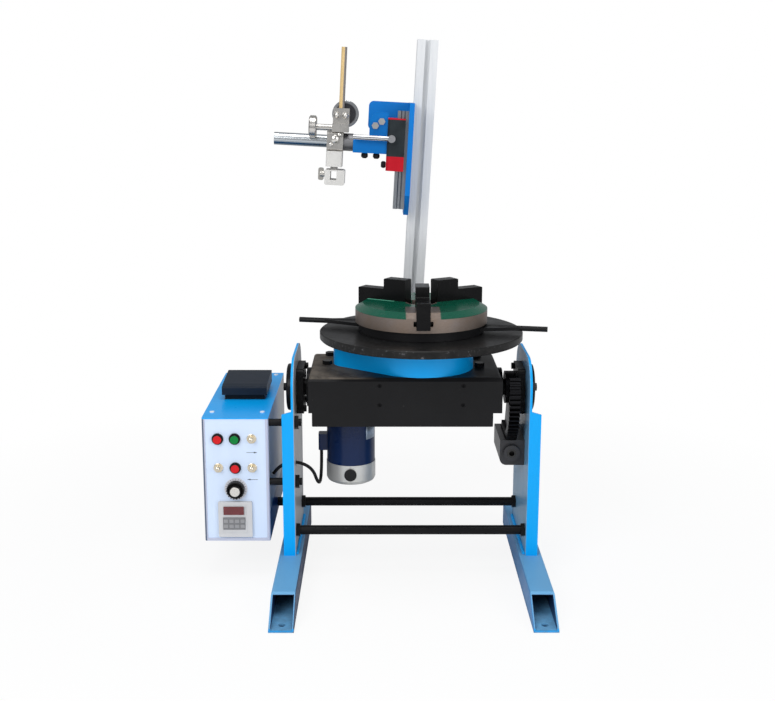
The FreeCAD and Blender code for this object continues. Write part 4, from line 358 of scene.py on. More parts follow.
def table_finish():
    """Black disc with swirled scratches and a rubbed, brighter edge."""
    low, high = box("round_table")
    centre = (low + high) / 2
    radius = (high.x - low.x) / 2
    finish = Finish("table_black", (0.012, 0.012, 0.013), 0.35, coat=0.02)
    edge = 1 - finish.top_disc(centre, radius - 2.5 * MM, 3 * MM)
    scratch = finish.noise(120.0, 6.0, 0.75, (1, 4, 1)).above(0.63, 0.06)
    cross = finish.noise(90.0, 6.0, 0.75, (5, 1, 1)).above(0.66, 0.05)
    front_left = ((finish.x - centre.x) * -1.0 - (finish.y - centre.y)).above(0.03, 0.15)
    marks = scratch.most(cross) * (front_left * 0.5 + 0.08)
    base = finish.mix(finish.noise(12, 5), (0.004, 0.004, 0.0045), (0.012, 0.012, 0.012))
    base = finish.mix(marks, base, (0.2, 0.2, 0.21))
    rubbed = edge * finish.noise(45, 5, 0.7).above(0.5, 0.3)
    base = finish.mix(rubbed * 0.12, base, (0.1, 0.095, 0.09))
    finish.set("Metallic", rubbed * 0.1)
    return finish.done(
        base,
        finish.noise(30, 4) * 0.3 + 0.2, finish.noise(300, 3) + marks * -0.6, 0.0001)


def housing_finish():
    """Black sheet metal whose top plate is rubbed to a dusty brown at the left."""
    low, high = box("tilt_housing")
    finish = Finish("housing_black", (0.014, 0.014, 0.015), 0.42)
    top = finish.z.above(high.z - 2 * MM, 1.5 * MM)
    left = finish.x.below(low.x + 80 * MM, 40 * MM)
    dust = finish.noise(26, 5, 0.7).above(0.38, 0.3)
    base = finish.mix(finish.noise(11, 5), (0.006, 0.006, 0.0065), (0.014, 0.014, 0.015))
    base = finish.mix(top * left * dust * 0.8, base, (0.17, 0.145, 0.12))
    nick = finish.noise(200, 3).above(0.77, 0.02)
    return finish.done(
        finish.mix(nick * 0.4, base, (0.3, 0.29, 0.28)),
        finish.noise(38) * 0.2 + 0.33 + top * left * 0.25, finish.noise(450, 2), 0.00012)


def motor_cap_finish():
    """Silver cast end with black brush caps standing off its sides."""
    low, high = box("motor_can")
    across = (high.y - low.y) / 2
    centre_y = (high.y + low.y) / 2
    finish = Finish("motor_cap_alloy", (0.66, 0.66, 0.64), 0.42, metallic=0.7)
    brush = (finish.y - centre_y).size().above(across + 0.9 * MM, 0.3 * MM)
    cloud = finish.noise(30, 5)
    silver = finish.mix(cloud, (0.55, 0.55, 0.53), (0.74, 0.74, 0.72))
    finish.set("Metallic", (1 - brush) * 0.7)
    return finish.done(finish.mix(brush, silver, (0.012, 0.012, 0.013)),
                       cloud * 0.2 + 0.32, finish.noise(600, 3), 0.00012)


def switch_finish():
    """Black rings round the three buttons; brassy nickel nuts round the bats."""
    finish = Finish("switch_metal", (0.6, 0.52, 0.38), 0.25, metallic=1.0)
    black = None
    for name in ("stop_button", "start_button", "jog_button"):
        spot = middle(name)
        ring = finish.front_disc(spot, 10.5 * MM, 0.5 * MM)
        black = ring if black is None else black.most(ring)
    haze = finish.noise(90, 4)
    nickel = finish.mix(haze, (0.5, 0.42, 0.29), (0.78, 0.71, 0.58))
    finish.set("Metallic", 1 - black)
    return finish.done(finish.mix(black, nickel, (0.012, 0.012, 0.012)),
                       haze * 0.2 + 0.15 + black * 0.15, finish.noise(500), 0.00005)


def stand_height(finish):
    """Distance along the leaning mast, in the finish's own coordinates."""
    along = finish.x * math.sin(LEAN) + finish.z * math.cos(LEAN)
    return along - (STAND_FOOT.x * math.sin(LEAN) + STAND_FOOT.z * math.cos(LEAN))


def carriage_finish():
    """Black bearing block between a red end seal and a red rail clamp."""
    finish = Finish("carriage_black", (0.012, 0.013, 0.016), 0.3)
    w = stand_height(finish)
    red = w.below(376 * MM, 0.2 * MM).most(w.above(434 * MM, 0.2 * MM))
    cloud = finish.noise(40, 4)
    black = finish.mix(cloud, (0.008, 0.01, 0.012), (0.035, 0.045, 0.05))
    glow = finish.mix(cloud, (0.4, 0.006, 0.015), (0.55, 0.012, 0.025))
    return finish.done(finish.mix(red, black, glow),
                       cloud * 0.2 + 0.25, finish.noise(500), 0.00008)


def profile_finish():
    """Anodised extrusion with die lines along its length."""
    finish = Finish("mast_anodised", (0.76, 0.77, 0.78), 0.33, metallic=0.35)
    lines = finish.noise(420.0, 2.0, 0.5, (1, 1, 0.02))
    cloud = finish.noise(6, 4)
    base = finish.mix(lines, (0.72, 0.74, 0.76), (0.86, 0.87, 0.88))
    return finish.done(finish.mix(cloud * 0.2, base, (0.62, 0.65, 0.69)),
                       lines * 0.14 + 0.27, lines, 0.00005)


def panel_finish():
    """Pale brushed control panel with a faint cool tint."""
    finish = Finish("panel_pale", (0.62, 0.65, 0.78), 0.38, coat=0.2)
    lines = finish.noise(380.0, 2.0, 0.5, (1, 1, 0.03))
    base = finish.mix(finish.noise(5, 3), (0.58, 0.7, 0.9), (0.66, 0.77, 0.94))
    return finish.done(finish.mix(lines * 0.25, base, (0.72, 0.8, 0.95)),
                       lines * 0.15 + 0.3, lines, 0.00003)


def shell_finish():
    """Grey sheet sides with painted shade in navy on their lower part, a darker blue-grey left
    side, and the panel's own tint on the front rim.
    """
    low, high = box("box_shell")
    finish = Finish("box_grey", (0.42, 0.42, 0.44), 0.42, coat=0.1)
    front = finish.y.below(low.y + 4 * MM, 1 * MM)
    cloud = finish.noise(7, 5)
    grey = finish.mix(cloud, (0.36, 0.36, 0.37), (0.48, 0.48, 0.49))
    left = finish.x.below(low.x + 3 * MM, 1 * MM)
    grey = finish.mix(left, grey, (0.1, 0.13, 0.2))
    # Painted shade: the lower part of the sides is darkened to navy.
    foot = finish.z.below(low.z + 46 * MM, 3 * MM)
    grey = finish.mix(foot * (1 - left), grey, (0.004, 0.06, 0.17))
    return finish.done(finish.mix(front * (1 - left), grey, (0.5, 0.53, 0.66)),
                       cloud * 0.15 + 0.35, finish.noise(450), 0.0001)


def upright_finish(name, colour):
    """Azure flanges; the web's face towards the housing is grey on the left upright and a duller
    blue on the right.
    """
    low, high = box(name)
    inner = low.x if name.startswith("right") else high.x
    finish = Finish(name + "_paint", colour, 0.35, coat=0.05)
    face = (finish.x - inner).size().below(0.6 * MM, 0.4 * MM)
    cloud = finish.noise(8, 4)
    blue = finish.mottle(cloud, colour, 0.9, 1.08)
    chips = finish.noise(150, 3, 0.6).above(0.77, 0.02)
    grey = (0.36, 0.37, 0.39) if name.startswith("left") else (0.15, 0.33, 0.52)
    base = finish.mix(face, blue, finish.mottle(cloud, grey, 0.85, 1.15))
    return finish.done(finish.mix(chips * 0.3, base, (0.12, 0.2, 0.3)),
                       finish.noise(40) * 0.2 + 0.27, finish.noise(420), 0.0001)


def foot_finish(name, colour):
    """Steel-blue tops; painted shade on the inner sides and in the bore, and a painted highlight
    on the rims of the slanted front end.
    """
    low, high = box(name)
    finish = Finish(name + "_paint", colour, 0.38)
    cloud = finish.noise(10, 5)
    base = finish.mottle(cloud, colour, 0.9, 1.1)
    # Painted shade: the side of each foot that faces the other foot is darkened.
    if name.startswith("left"):
        inner, side = finish.x.above(high.x - 1 * MM, 0.4 * MM), (0.01, 0.03, 0.09)
    else:
        inner, side = finish.x.below(low.x + 1 * MM, 0.4 * MM), (0.045, 0.2, 0.46)
    base = finish.mix(inner, base, finish.mottle(cloud, side, 0.8, 1.2))
    # Painted shade: the inside of the tube, seen through its open front end, is darkened to navy.
    across = finish.x.above(low.x + 2.4 * MM, 0.3 * MM)
    across = across * finish.x.below(high.x - 2.4 * MM, 0.3 * MM)
    bore = across * finish.z.above(3.3 * MM, 0.2 * MM) * finish.z.below(33.4 * MM, 0.2 * MM)
    base = finish.mix(bore, base, (0.012, 0.04, 0.12))
    # Painted highlight: the faces of the slanted front end are made a bright azure.
    slope = (finish.z - 3 * MM) * 0.66 - (finish.y - low.y) * 0.75
    painted_cut_highlight = slope.above(-0.9 * MM, 0.4 * MM)
    base = finish.mix(painted_cut_highlight, base, (0.0, 0.31, 0.76))
    low_scuff = finish.z.below(6 * MM, 8 * MM) * finish.noise(60, 5, 0.7).above(0.5, 0.2)
    base = finish.mix(low_scuff * 0.35, base, (0.08, 0.11, 0.15))
    chips = finish.noise(160, 3).above(0.75, 0.03)
    return finish.done(
        finish.mix(chips * 0.4, base, (0.08, 0.12, 0.18)),
        cloud * 0.25 + 0.27 + low_scuff * 0.2, finish.noise(400) + chips * -1.0, 0.00012)


def rod_finish():
    """Brown insulated bar: tan on its left side, grey on its right."""
    low, high = box("torch_rod")
    finish = Finish("rod_tan", (0.6, 0.42, 0.2), 0.5)
    across = finish.x - finish.z * math.tan(LEAN)
    centre = (low.x + high.x) / 2 - (low.z + high.z) / 2 * math.tan(LEAN)
    grey = across.above(centre + 1 * MM, 0.8 * MM)
    cloud = finish.noise(60, 4)
    tan = finish.mix(cloud, (0.58, 0.4, 0.17), (0.75, 0.56, 0.28))
    return finish.done(finish.mix(grey, tan, (0.22, 0.2, 0.19)),
                       cloud * 0.2 + 0.35, finish.noise(500), 0.0001)


def tube_finish():
    """Bright tube with painted shade along its lower side; the stop collar on it is dull grey."""
    low, high = box("torch_tube")
    finish = Finish("tube_bright", (0.7, 0.72, 0.74), 0.16, metallic=1.0)
    u = finish.x * math.cos(LEAN) - finish.z * math.sin(LEAN)
    start = STAND_FOOT.x * math.cos(LEAN) - STAND_FOOT.z * math.sin(LEAN)
    collar = u.above(start - 127.8 * MM, 0.2 * MM) * u.below(start - 112.2 * MM, 0.2 * MM)
    haze = finish.noise(60.0, 4.0, 0.5, (0.3, 1, 1))
    side = (finish.z - (low.z + high.z) / 2) + (finish.x - (low.x + high.x) / 2) * math.tan(LEAN)
    # Painted shade: the lower side of the tube is darkened to a dark blue-grey.
    painted_underside_shade = side.below(-2 * MM, 5 * MM)
    bright = finish.mix(haze, (0.5, 0.54, 0.57), (0.66, 0.69, 0.71))
    bright = finish.mix(painted_underside_shade, bright, (0.16, 0.2, 0.24))
    return finish.done(finish.mix(collar, bright, (0.2, 0.2, 0.21)),
                       haze * 0.12 + 0.12 + collar * 0.3, haze, 0.00003)


# ------------------------------------------------------------------ settings
def colour_prop(name, description, value):
    return FloatVectorProperty(name=name, description=description, default=value,
                               subtype="COLOR", size=3, min=0, max=1)


def length_prop(name, description, value):
    return FloatProperty(name=name, description=description, default=value,
                         unit="LENGTH", subtype="DISTANCE", precision=4)


class PositionerPaint(bpy.types.PropertyGroup):
    azure: colour_prop("Azure", "Paint of the uprights, lid and belt case", (0.0, 0.37, 0.88))
    steel_blue: colour_prop("Steel blue", "Paint of the feet", (0.13, 0.36, 0.62))
    green: colour_prop("Green", "Enamel on the chuck", (0.0, 0.075, 0.042))
    motor_blue: colour_prop("Motor blue", "Paint of the motor can", (0.003, 0.016, 0.07))
    bracket_blue: colour_prop("Bracket blue", "Paint of the slide bracket", (0.0, 0.17, 0.56))
    stop_red: colour_prop("Red", "Stop and jog caps", (0.62, 0.01, 0.015))
    start_green: colour_prop("Start green", "Start cap", (0.0, 0.2, 0.035))


class PositionerSizes(bpy.types.PropertyGroup):
    dial_radius: length_prop("Dial radius", "Outer radius of the speed dial", 0.0172)
    dial_ticks: IntProperty(name="Dial ticks", description="Marks round the dial", default=21)
    rib_count: IntProperty(name="Knob ribs", description="Ribs round a clamp knob", default=14)
    cover_radius: length_prop("Cover radius", "Covers outside the webs", 0.036)
    cover_from: length_prop("Cover start", "Inner face of a cover, from the middle", 0.1776)
    cover_to: length_prop("Cover end", "Outer face of a cover, from the middle", 0.1885)
    hole_left: length_prop("Left holes", "Place of the left front holes", -0.047)
    hole_right: length_prop("Right holes", "Place of the right front holes", 0.076)
    hole_low: length_prop("Lower holes", "Height of the lower front holes", 0.269)
    hole_high: length_prop("Upper holes", "Height of the upper front holes", 0.298)
    bead: length_prop("Weld bead", "Width of a weld bead", 0.0055)
    key_columns: IntProperty(name="Key columns", description="Keys across the timer", default=4)


def paint(name):
    return tuple(getattr(bpy.context.scene.positioner_paint, name))


def sizes():
    return bpy.context.scene.positioner_sizes


# ------------------------------------------------------------------ mesh helpers
def dress(finish, *names):
    """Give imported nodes, or a new piece, their finish."""
    for name in names:
        materials = bpy.data.objects[name].data.materials
        materials.clear()
        materials.append(finish.material)


def new_piece(name, made, finish, body, smooth=True):
    """Piece from a mesh, or from a bmesh that is closed up first."""
    mesh = finish_mesh(made, name, smooth) if isinstance(made, bmesh.types.BMesh) else made
    mesh.validate()
    obj = bpy.data.objects.new(name, mesh)
    bpy.context.scene.collection.objects.link(obj)
    dress(finish, name)
    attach(obj, body)
    return obj


def lathe(bm, profile, centre, axis, steps=48):
    """Closed surface turned about an axis; profile is (along, radius)."""
    axis = Vector(axis).normalized()
    side = axis.orthogonal().normalized()
    other = axis.cross(side)
    rings = []
    for along, radius in profile:
        spot = Vector(centre) + axis * along
        if radius <= 0:
            rings.append([bm.verts.new(spot)])
            continue
        turn = [2 * math.pi * n / steps for n in range(steps)]
        rings.append([bm.verts.new(spot + (side * math.cos(a) + other * math.sin(a)) * radius)
                      for a in turn])
    for low, high in zip(rings, rings[1:]):
        for n in range(steps):
            m = (n + 1) % steps
            corners = [low[n % len(low)], low[m % len(low)],
                       high[m % len(high)], high[n % len(high)]]
            unique = list(dict.fromkeys(corners))
            if len(unique) > 2:
                bm.faces.new(unique)


def mm(*pairs):
    """Profile or outline written in millimetres, in metres."""
    return [(a * MM, b * MM) for a, b in pairs]


def plate(bm, outline, back, thickness, bevel=0.0):
    """Flat plate from an outline of (x, z) corners, standing out to the front."""
    face = bm.faces.new([bm.verts.new((x, back, z)) for x, z in outline])
    made = bmesh.ops.extrude_face_region(bm, geom=[face])
    top = [item for item in made["geom"] if isinstance(item, bmesh.types.BMVert)]
    bmesh.ops.translate(bm, verts=top, vec=(0, -thickness, 0))
    if bevel:
        edges = {edge for vert in top for edge in vert.link_edges}
        bmesh.ops.bevel(bm, geom=list(edges), offset=bevel, segments=2, affect="EDGES")


def finish_mesh(bm, name, smooth=True):
    bmesh.ops.remove_doubles(bm, verts=bm.verts, dist=1e-6)
    bmesh.ops.recalc_face_normals(bm, faces=bm.faces)
    mesh = bpy.data.meshes.new(name)
    bm.to_mesh(mesh)
    bm.free()
    if smooth:
        mesh.shade_smooth()
        mesh.set_sharp_from_angle(angle=math.radians(35))
    return mesh


def rectangle(a0, a1, b0, b1):
    return [(a0, b0), (a1, b0), (a1, b1), (a0, b1)]


# ------------------------------------------------------------------ geometry nodes
class Tree:
    """Geometry node tree with named inputs that ends in real, painted mesh."""

    def __init__(self, name, inputs):
        self.group = bpy.data.node_groups.new(name, "GeometryNodeTree")
        face = self.group.interface
        face.new_socket("Geometry", in_out="OUTPUT", socket_type="NodeSocketGeometry")
        for label, kind, value in inputs:
            socket = face.new_socket(label, in_out="INPUT", socket_type=kind)
            socket.default_value = value
        self.start = self.group.nodes.new("NodeGroupInput")
        self.end = self.group.nodes.new("NodeGroupOutput")

    def add(self, kind, sockets=None, **settings):
        node = self.group.nodes.new(kind)
        for key, value in settings.items():
            setattr(node, key, value)
        for key, value in (sockets or {}).items():
            if isinstance(value, bpy.types.NodeSocket):
                self.group.links.new(value, node.inputs[key])
            else:
                node.inputs[key].default_value = value
        return node

    def finish(self, geometry, material):
        real = self.add("GeometryNodeRealizeInstances", {0: geometry})
        coated = self.add("GeometryNodeSetMaterial", {0: real.outputs[0]})
        coated.inputs["Material"].default_value = material
        self.group.links.new(coated.outputs[0], self.end.inputs[0])

    def mesh(self, name):
        """Evaluate the tree once and return the result as a plain mesh."""
        holder = bpy.data.objects.new(name + "_maker", bpy.data.meshes.new(name + "_maker"))
        bpy.context.scene.collection.objects.link(holder)
        modifier = holder.modifiers.new("make", "NODES")
        modifier.node_group = self.group
        graph = bpy.context.evaluated_depsgraph_get()
        mesh = bpy.data.meshes.new_from_object(holder.evaluated_get(graph))
        holder.modifiers.clear()
        bpy.data.objects.remove(holder)
        mesh.name = name
        return mesh


def ring_of_blocks(name, material, count, radius, block):
    """Blocks set round a circle in the local XY plane, each facing outwards."""
    tree = Tree(name, [("Count", "NodeSocketInt", count), ("Radius", "NodeSocketFloat", radius),
                       ("Block", "NodeSocketVector", block)])
    circle = tree.add("GeometryNodeMeshCircle", {"Vertices": tree.start.outputs["Count"],
                                                 "Radius": tree.start.outputs["Radius"]})
    block_mesh = tree.add("GeometryNodeMeshCube", {"Size": tree.start.outputs["Block"]})
    spot = tree.add("GeometryNodeInputPosition")
    aim = tree.add("FunctionNodeAlignRotationToVector", {"Vector": spot.outputs[0]}, axis="X")
    placed = tree.add("GeometryNodeInstanceOnPoints", {
        "Points": circle.outputs[0], "Instance": block_mesh.outputs[0],
        "Rotation": aim.outputs[0]})
    tree.finish(placed.outputs[0], material)
    return tree.mesh(name)


def bead_line(name, material, start, end, width):
    """Overlapping weld ripples along a straight seam."""
    start, end = Vector(start), Vector(end)
    count = max(2, int((end - start).length / (width * 0.45)))
    tree = Tree(name, [("Count", "NodeSocketInt", count), ("Start", "NodeSocketVector", start),
                       ("Step", "NodeSocketVector", (end - start) / (count - 1)),
                       ("Radius", "NodeSocketFloat", width / 2)])
    line = tree.add("GeometryNodeMeshLine", {
        "Count": tree.start.outputs["Count"], "Start Location": tree.start.outputs["Start"],
        "Offset": tree.start.outputs["Step"]})
    drop = tree.add("GeometryNodeMeshIcoSphere", {"Radius": tree.start.outputs["Radius"],
                                                  "Subdivisions": 2})
    wobble = tree.add("FunctionNodeRandomValue", {"Seed": 4}, data_type="FLOAT")
    wobble.inputs[2].default_value = 0.85
    wobble.inputs[3].default_value = 1.1
    placed = tree.add("GeometryNodeInstanceOnPoints", {
        "Points": line.outputs[0], "Instance": drop.outputs[0], "Scale": wobble.outputs[1]})
    tree.finish(placed.outputs[0], material)
    return tree.mesh(name)


def turned_about(mesh, axis, centre):
    """Move a mesh made about local Z so that it sits about another axis."""
    axis = Vector(axis).normalized()
    turn = Vector((0, 0, 1)).rotation_difference(axis).to_matrix().to_4x4()
    mesh.transform(Matrix.Translation(Vector(centre)) @ turn)


# ------------------------------------------------------------------ operators
class POSITIONER_OT_frame(bpy.types.Operator):
    """Paint the feet and uprights and give the bars their black enamel"""
    bl_idname = "positioner.frame"
    bl_label = "Base frame"

    def execute(self, context):
        azure = paint("azure")
        for side in ("left", "right"):
            dress(foot_finish(side + "_foot", paint("steel_blue")), side + "_foot")
            dress(upright_finish(side + "_upright", azure), side + "_upright")
        dress(black_enamel("bar_enamel"), "tie_bars", "bearing_units", "mast_bracket", "trunnions")
        dress(fastener_finish(), "frame_fasteners")
        dress(black_enamel("bolt_black", roughness=0.3), "tilt_fasteners")
        bead = sizes().bead
        weld = painted("weld_paint", azure, 0.4)
        for side in ("left", "right"):
            low, high = box(side + "_upright")
            seam = high.x + bead * 0.25 if side == "left" else low.x - bead * 0.25
            height = box(side + "_foot")[1].z + bead * 0.1
            mesh = bead_line(side + "_weld", weld.material, (seam, low.y + 8 * MM, height),
                             (seam, high.y - 8 * MM, height), bead)
            new_piece(side + "_weld", mesh, weld, "base_frame")
        return {"FINISHED"}


class POSITIONER_OT_drive(bpy.types.Operator):
    """Finish the housing, belt case, motor, tilt gear and hidden drive"""
    bl_idname = "positioner.drive"
    bl_label = "Tilt unit and drive"

    def execute(self, context):
        dress(housing_finish(), "tilt_housing", "housing_skirt")
        dress(painted("case_azure", paint("azure"), 0.35, 0.1), "belt_case")
        dress(painted("motor_navy", paint("motor_blue"), 0.3, 0.1, 0.4), "motor_can")
        dress(motor_cap_finish(), "motor_end_cap")
        dress(machined("sector_steel", (0.018, 0.018, 0.02), 0.4, rust=0.0), "tilt_sector")
        dress(machined("worm_steel", (0.05, 0.05, 0.05), 0.35, rust=0.1), "worm")
        dress(machined("spindle_steel"), "spindle_bearing", "table_spindle", "motor_pulley")
        dress(moulded("belt_rubber", (0.02, 0.02, 0.02), 0.7), "drive_belt")
        self.sticker()
        self.covers()
        self.front_screws()
        return {"FINISHED"}

    def covers(self):
        """Round black covers over the trunnion discs, outside the webs."""
        black = black_enamel("cover_black", roughness=0.3)
        radius, start, end = sizes().cover_radius, sizes().cover_from, sizes().cover_to
        spot = middle("trunnions")
        for side, sign in (("left", -1), ("right", 1)):
            bm = bmesh.new()
            lathe(bm, [(start, 0), (start, radius), (end - 3 * MM, radius),
                       (end - 1 * MM, radius - 1 * MM), (end, radius - 4 * MM), (end, 0)],
                  (0, TILT_Y, spot.z), (sign, 0, 0), 72)
            new_piece(side + "_cover", bm, black, "tilt_unit")

    def front_screws(self):
        """Dark socket screws set in the four holes of the housing's front, standing in for the
        shade inside the holes.
        """
        black = black_enamel("socket_black", roughness=0.4)
        front = box("tilt_housing")[0].y
        bm = bmesh.new()
        for across in (sizes().hole_left, sizes().hole_right):
            for height in (sizes().hole_low, sizes().hole_high):
                lathe(bm, mm((3.4, 0), (3.4, 1.3), (1, 1.5), (1, 2.4), (1.4, 2.95),
                             (5, 2.95), (5, 0)), (across, front, height), (0, 1, 0), 24)
        new_piece("front_screws", bm, black, "tilt_unit")

    def sticker(self):
        """Bare foil rectangle that follows the can's curve."""
        low, high = box("motor_end_cap")
        centre = (low + high) / 2
        radius = (high.x - low.x) / 2 - 0.55 * MM
        bm = bmesh.new()
        steps = 12
        first, last = math.radians(-50), math.radians(-14)
        rows = []
        for n in range(steps + 1):
            angle = first + (last - first) * n / steps
            out = Vector((math.cos(angle), math.sin(angle), 0))
            rows.append([bm.verts.new(Vector((centre.x, centre.y, high.z + height)) + out * radius)
                         for height in (40 * MM, 64 * MM)])
        for one, two in zip(rows, rows[1:]):
            bm.faces.new((one[0], two[0], two[1], one[1]))
        foil = cast_alloy("foil_grey", (0.38, 0.45, 0.55))
        obj = new_piece("motor_foil", bm, foil, "tilt_unit")
        thick = obj.modifiers.new("thick", "SOLIDIFY")
        thick.thickness = 0.25 * MM
        thick.offset = 1


class POSITIONER_OT_table(bpy.types.Operator):
    """Finish the table, the chuck, its jaws and the lever ring"""
    bl_idname = "positioner.table"
    bl_label = "Table and chuck"

    def execute(self, context):
        dress(table_finish(), "round_table")
        dress(chuck_finish(paint("green")), "chuck_body")
        dress(black_enamel("jaw_black", (0.004, 0.004, 0.0045), 0.3),
              "front_jaw", "right_jaw", "left_jaw")
        dress(black_enamel("lever_black", (0.008, 0.008, 0.009), 0.4), "lever_ring")
        return {"FINISHED"}


class POSITIONER_OT_control_box(bpy.types.Operator):
    """Finish the control box, its switches, dial, timer and foot pedal"""
    bl_idname = "positioner.control_box"
    bl_label = "Control box and pedal"

    def execute(self, context):
        dress(painted("lid_azure", paint("azure"), 0.3, 0.08, 0.5), "box_lid")
        dress(shell_finish(), "box_shell")
        dress(panel_finish(), "front_panel")
        dress(switch_finish(), "panel_switches")
        for name, colour in (("stop", "stop_red"), ("jog", "stop_red"), ("start", "start_green")):
            label = name + "_" + colour.split("_")[1]
            dress(button_finish(label, name + "_button", paint(colour)), name + "_button")
        bat = chromed("bat_nickel", (0.75, 0.68, 0.55), 0.2)
        dress(bat, "power_toggle", "mode_toggle", "direction_toggle")
        self.bats(bat)
        dress(moulded("timer_grey", (0.56, 0.56, 0.57), 0.45), "cycle_timer")
        dress(machined("drive_can"), "drive_electronics")
        dress(black_enamel("pedal_steel"), "pedal_base")
        dress(moulded("pedal_plastic", (0.012, 0.018, 0.029), 0.42, 0.0002, 500.0), "foot_pedal")
        self.knob()
        self.dial()
        self.arrows()
        self.timer_face()
        return {"FINISHED"}

    def bats(self, finish):
        """Thick nickel bats and the washers under their nuts."""
        face = box("front_panel")[0].y
        lean = Vector((0, -math.cos(math.radians(10)), math.sin(math.radians(10))))
        washers = bmesh.new()
        for name, row in (("power", "start_button"), ("mode", "jog_button"),
                          ("direction", "jog_button")):
            spot = Vector((middle(name + "_toggle").x, face, middle(row).z))
            bm = bmesh.new()
            lathe(bm, mm((3.5, 0), (3.5, 2), (9, 2.6), (13, 3.2), (14.6, 2.6), (15.3, 1.3),
                         (15.4, 0)), spot, lean, 32)
            new_piece(name + "_bat_cap", bm, finish, name + "_bat")
            lathe(washers, mm((0.05, 3), (0.05, 7.1), (0.8, 7.1), (1.1, 6.6), (1.1, 3),
                              (0.05, 3)), spot, (0, -1, 0), 40)
        new_piece("bat_washers", washers, finish, "base_frame")

    def knob(self):
        low, high = box("speed_knob")
        finish = Finish("knob_black", (0.012, 0.012, 0.012), 0.3)
        spot = (low + high) / 2
        cap = finish.front_disc(spot, 7.2 * MM, 0.2 * MM)
        cap = cap * finish.y.below(low.y + 0.5 * MM, 0.3 * MM)
        lines = finish.noise(500)
        finish.set("Metallic", cap)
        finish.done(finish.mix(cap, (0.012, 0.012, 0.012), (0.7, 0.68, 0.64)),
                    lines * 0.15 + 0.2, lines, 0.00005)
        dress(finish, "speed_knob")
        face = box("front_panel")[0].y
        bm = bmesh.new()
        lathe(bm, mm((1.3, 11), (1.3, 13.2), (1.9, 13.5), (8.6, 12.9), (9.4, 12.2), (9.4, 11),
                     (1.3, 11)), (spot.x, face, spot.z), (0, -1, 0), 48)
        new_piece("knob_skirt", bm, finish, "speed_dial_knob")
        ribs = ring_of_blocks("knob_ribs", finish.material, 18, 12.7 * MM,
                              (1.4 * MM, 1.2 * MM, 7 * MM))
        turned_about(ribs, (0, 1, 0), (spot.x, low.y + 7.4 * MM, spot.z))
        new_piece("knob_ribs", ribs, finish, "speed_dial_knob")

    def dial(self):
        spot = middle("speed_knob")
        face = box("front_panel")[0].y
        radius = sizes().dial_radius
        pale = moulded("dial_pale", (0.6, 0.61, 0.66), 0.35)
        bm = bmesh.new()
        lathe(bm, [(0, radius - 5 * MM), (0.7 * MM, radius - 5 * MM),
                   (0.7 * MM, radius - 0.4 * MM), (0.3 * MM, radius), (0, radius),
                   (0, radius - 5 * MM)], (spot.x, face, spot.z), (0, -1, 0), 64)
        new_piece("speed_dial", bm, pale, "base_frame")
        ink = moulded("dial_ink", (0.03, 0.03, 0.035), 0.5)
        ticks = ring_of_blocks("dial_ticks", ink.material, sizes().dial_ticks + 3,
                               radius - 2.2 * MM, (2.4 * MM, 0.4 * MM, 0.2 * MM))
        turned_about(ticks, (0, -1, 0), (spot.x, face - 0.75 * MM, spot.z))
        new_piece("dial_ticks", ticks, ink, "base_frame")

    def arrows(self):
        """Direction arrows under and over the right-hand toggles."""
        ink = moulded("arrow_ink", (0.05, 0.06, 0.09), 0.5)
        face = box("front_panel")[0].y
        column = middle("direction_toggle").x
        rows = (middle("power_toggle").z + middle("direction_toggle").z) / 2
        drop = middle("power_toggle").z - rows
        bm = bmesh.new()
        shape = [(-8, -0.3), (3, -0.3), (3, -1.2), (8, 0), (3, 1.2), (3, 0.3), (-8, 0.3)]
        for sign, height in ((1, rows), (-1, rows - 2 * drop + 3 * MM)):
            outline = [(column + sign * a * MM, height + sign * b * MM) for a, b in shape]
            plate(bm, outline, face, 0.15 * MM)
        new_piece("panel_arrows", bm, ink, "base_frame", smooth=False)

    def timer_face(self):
        low, high = box("cycle_timer")
        front = low.y
        red = Finish("window_red", (0.12, 0.006, 0.01), 0.12, coat=1.0)
        streak = red.noise(60, 3)
        red.set("Base Color", red.mix(streak, (0.09, 0.004, 0.006), (0.16, 0.012, 0.018)))
        bm = bmesh.new()
        plate(bm, rectangle(low.x + 8 * MM, high.x - 12 * MM, high.z - 20 * MM, high.z - 7 * MM),
              front - 0.02 * MM, 0.5 * MM, 0.2 * MM)
        new_piece("timer_window", bm, red, "base_frame")
        dark = moulded("keypad_grey", (0.2, 0.2, 0.21), 0.5)
        bm = bmesh.new()
        plate(bm, rectangle(low.x + 7 * MM, high.x - 10 * MM, low.z + 12 * MM, high.z - 24 * MM),
              front - 0.02 * MM, 0.4 * MM, 0.2 * MM)
        new_piece("timer_keypad", bm, dark, "base_frame")
        light = moulded("key_grey", (0.3, 0.3, 0.31), 0.45)
        columns = sizes().key_columns
        wide = (high.x - low.x - 17 * MM) / columns
        bm = bmesh.new()
        for n in range(columns):
            for height in (low.z + 15 * MM, low.z + 23 * MM):
                left = low.x + 7 * MM + wide * n + 1 * MM
                plate(bm, rectangle(left, left + wide - 2 * MM, height, height + 5.5 * MM),
                      front - 0.4 * MM, 0.8 * MM, 0.3 * MM)
        new_piece("timer_keys", bm, light, "base_frame")


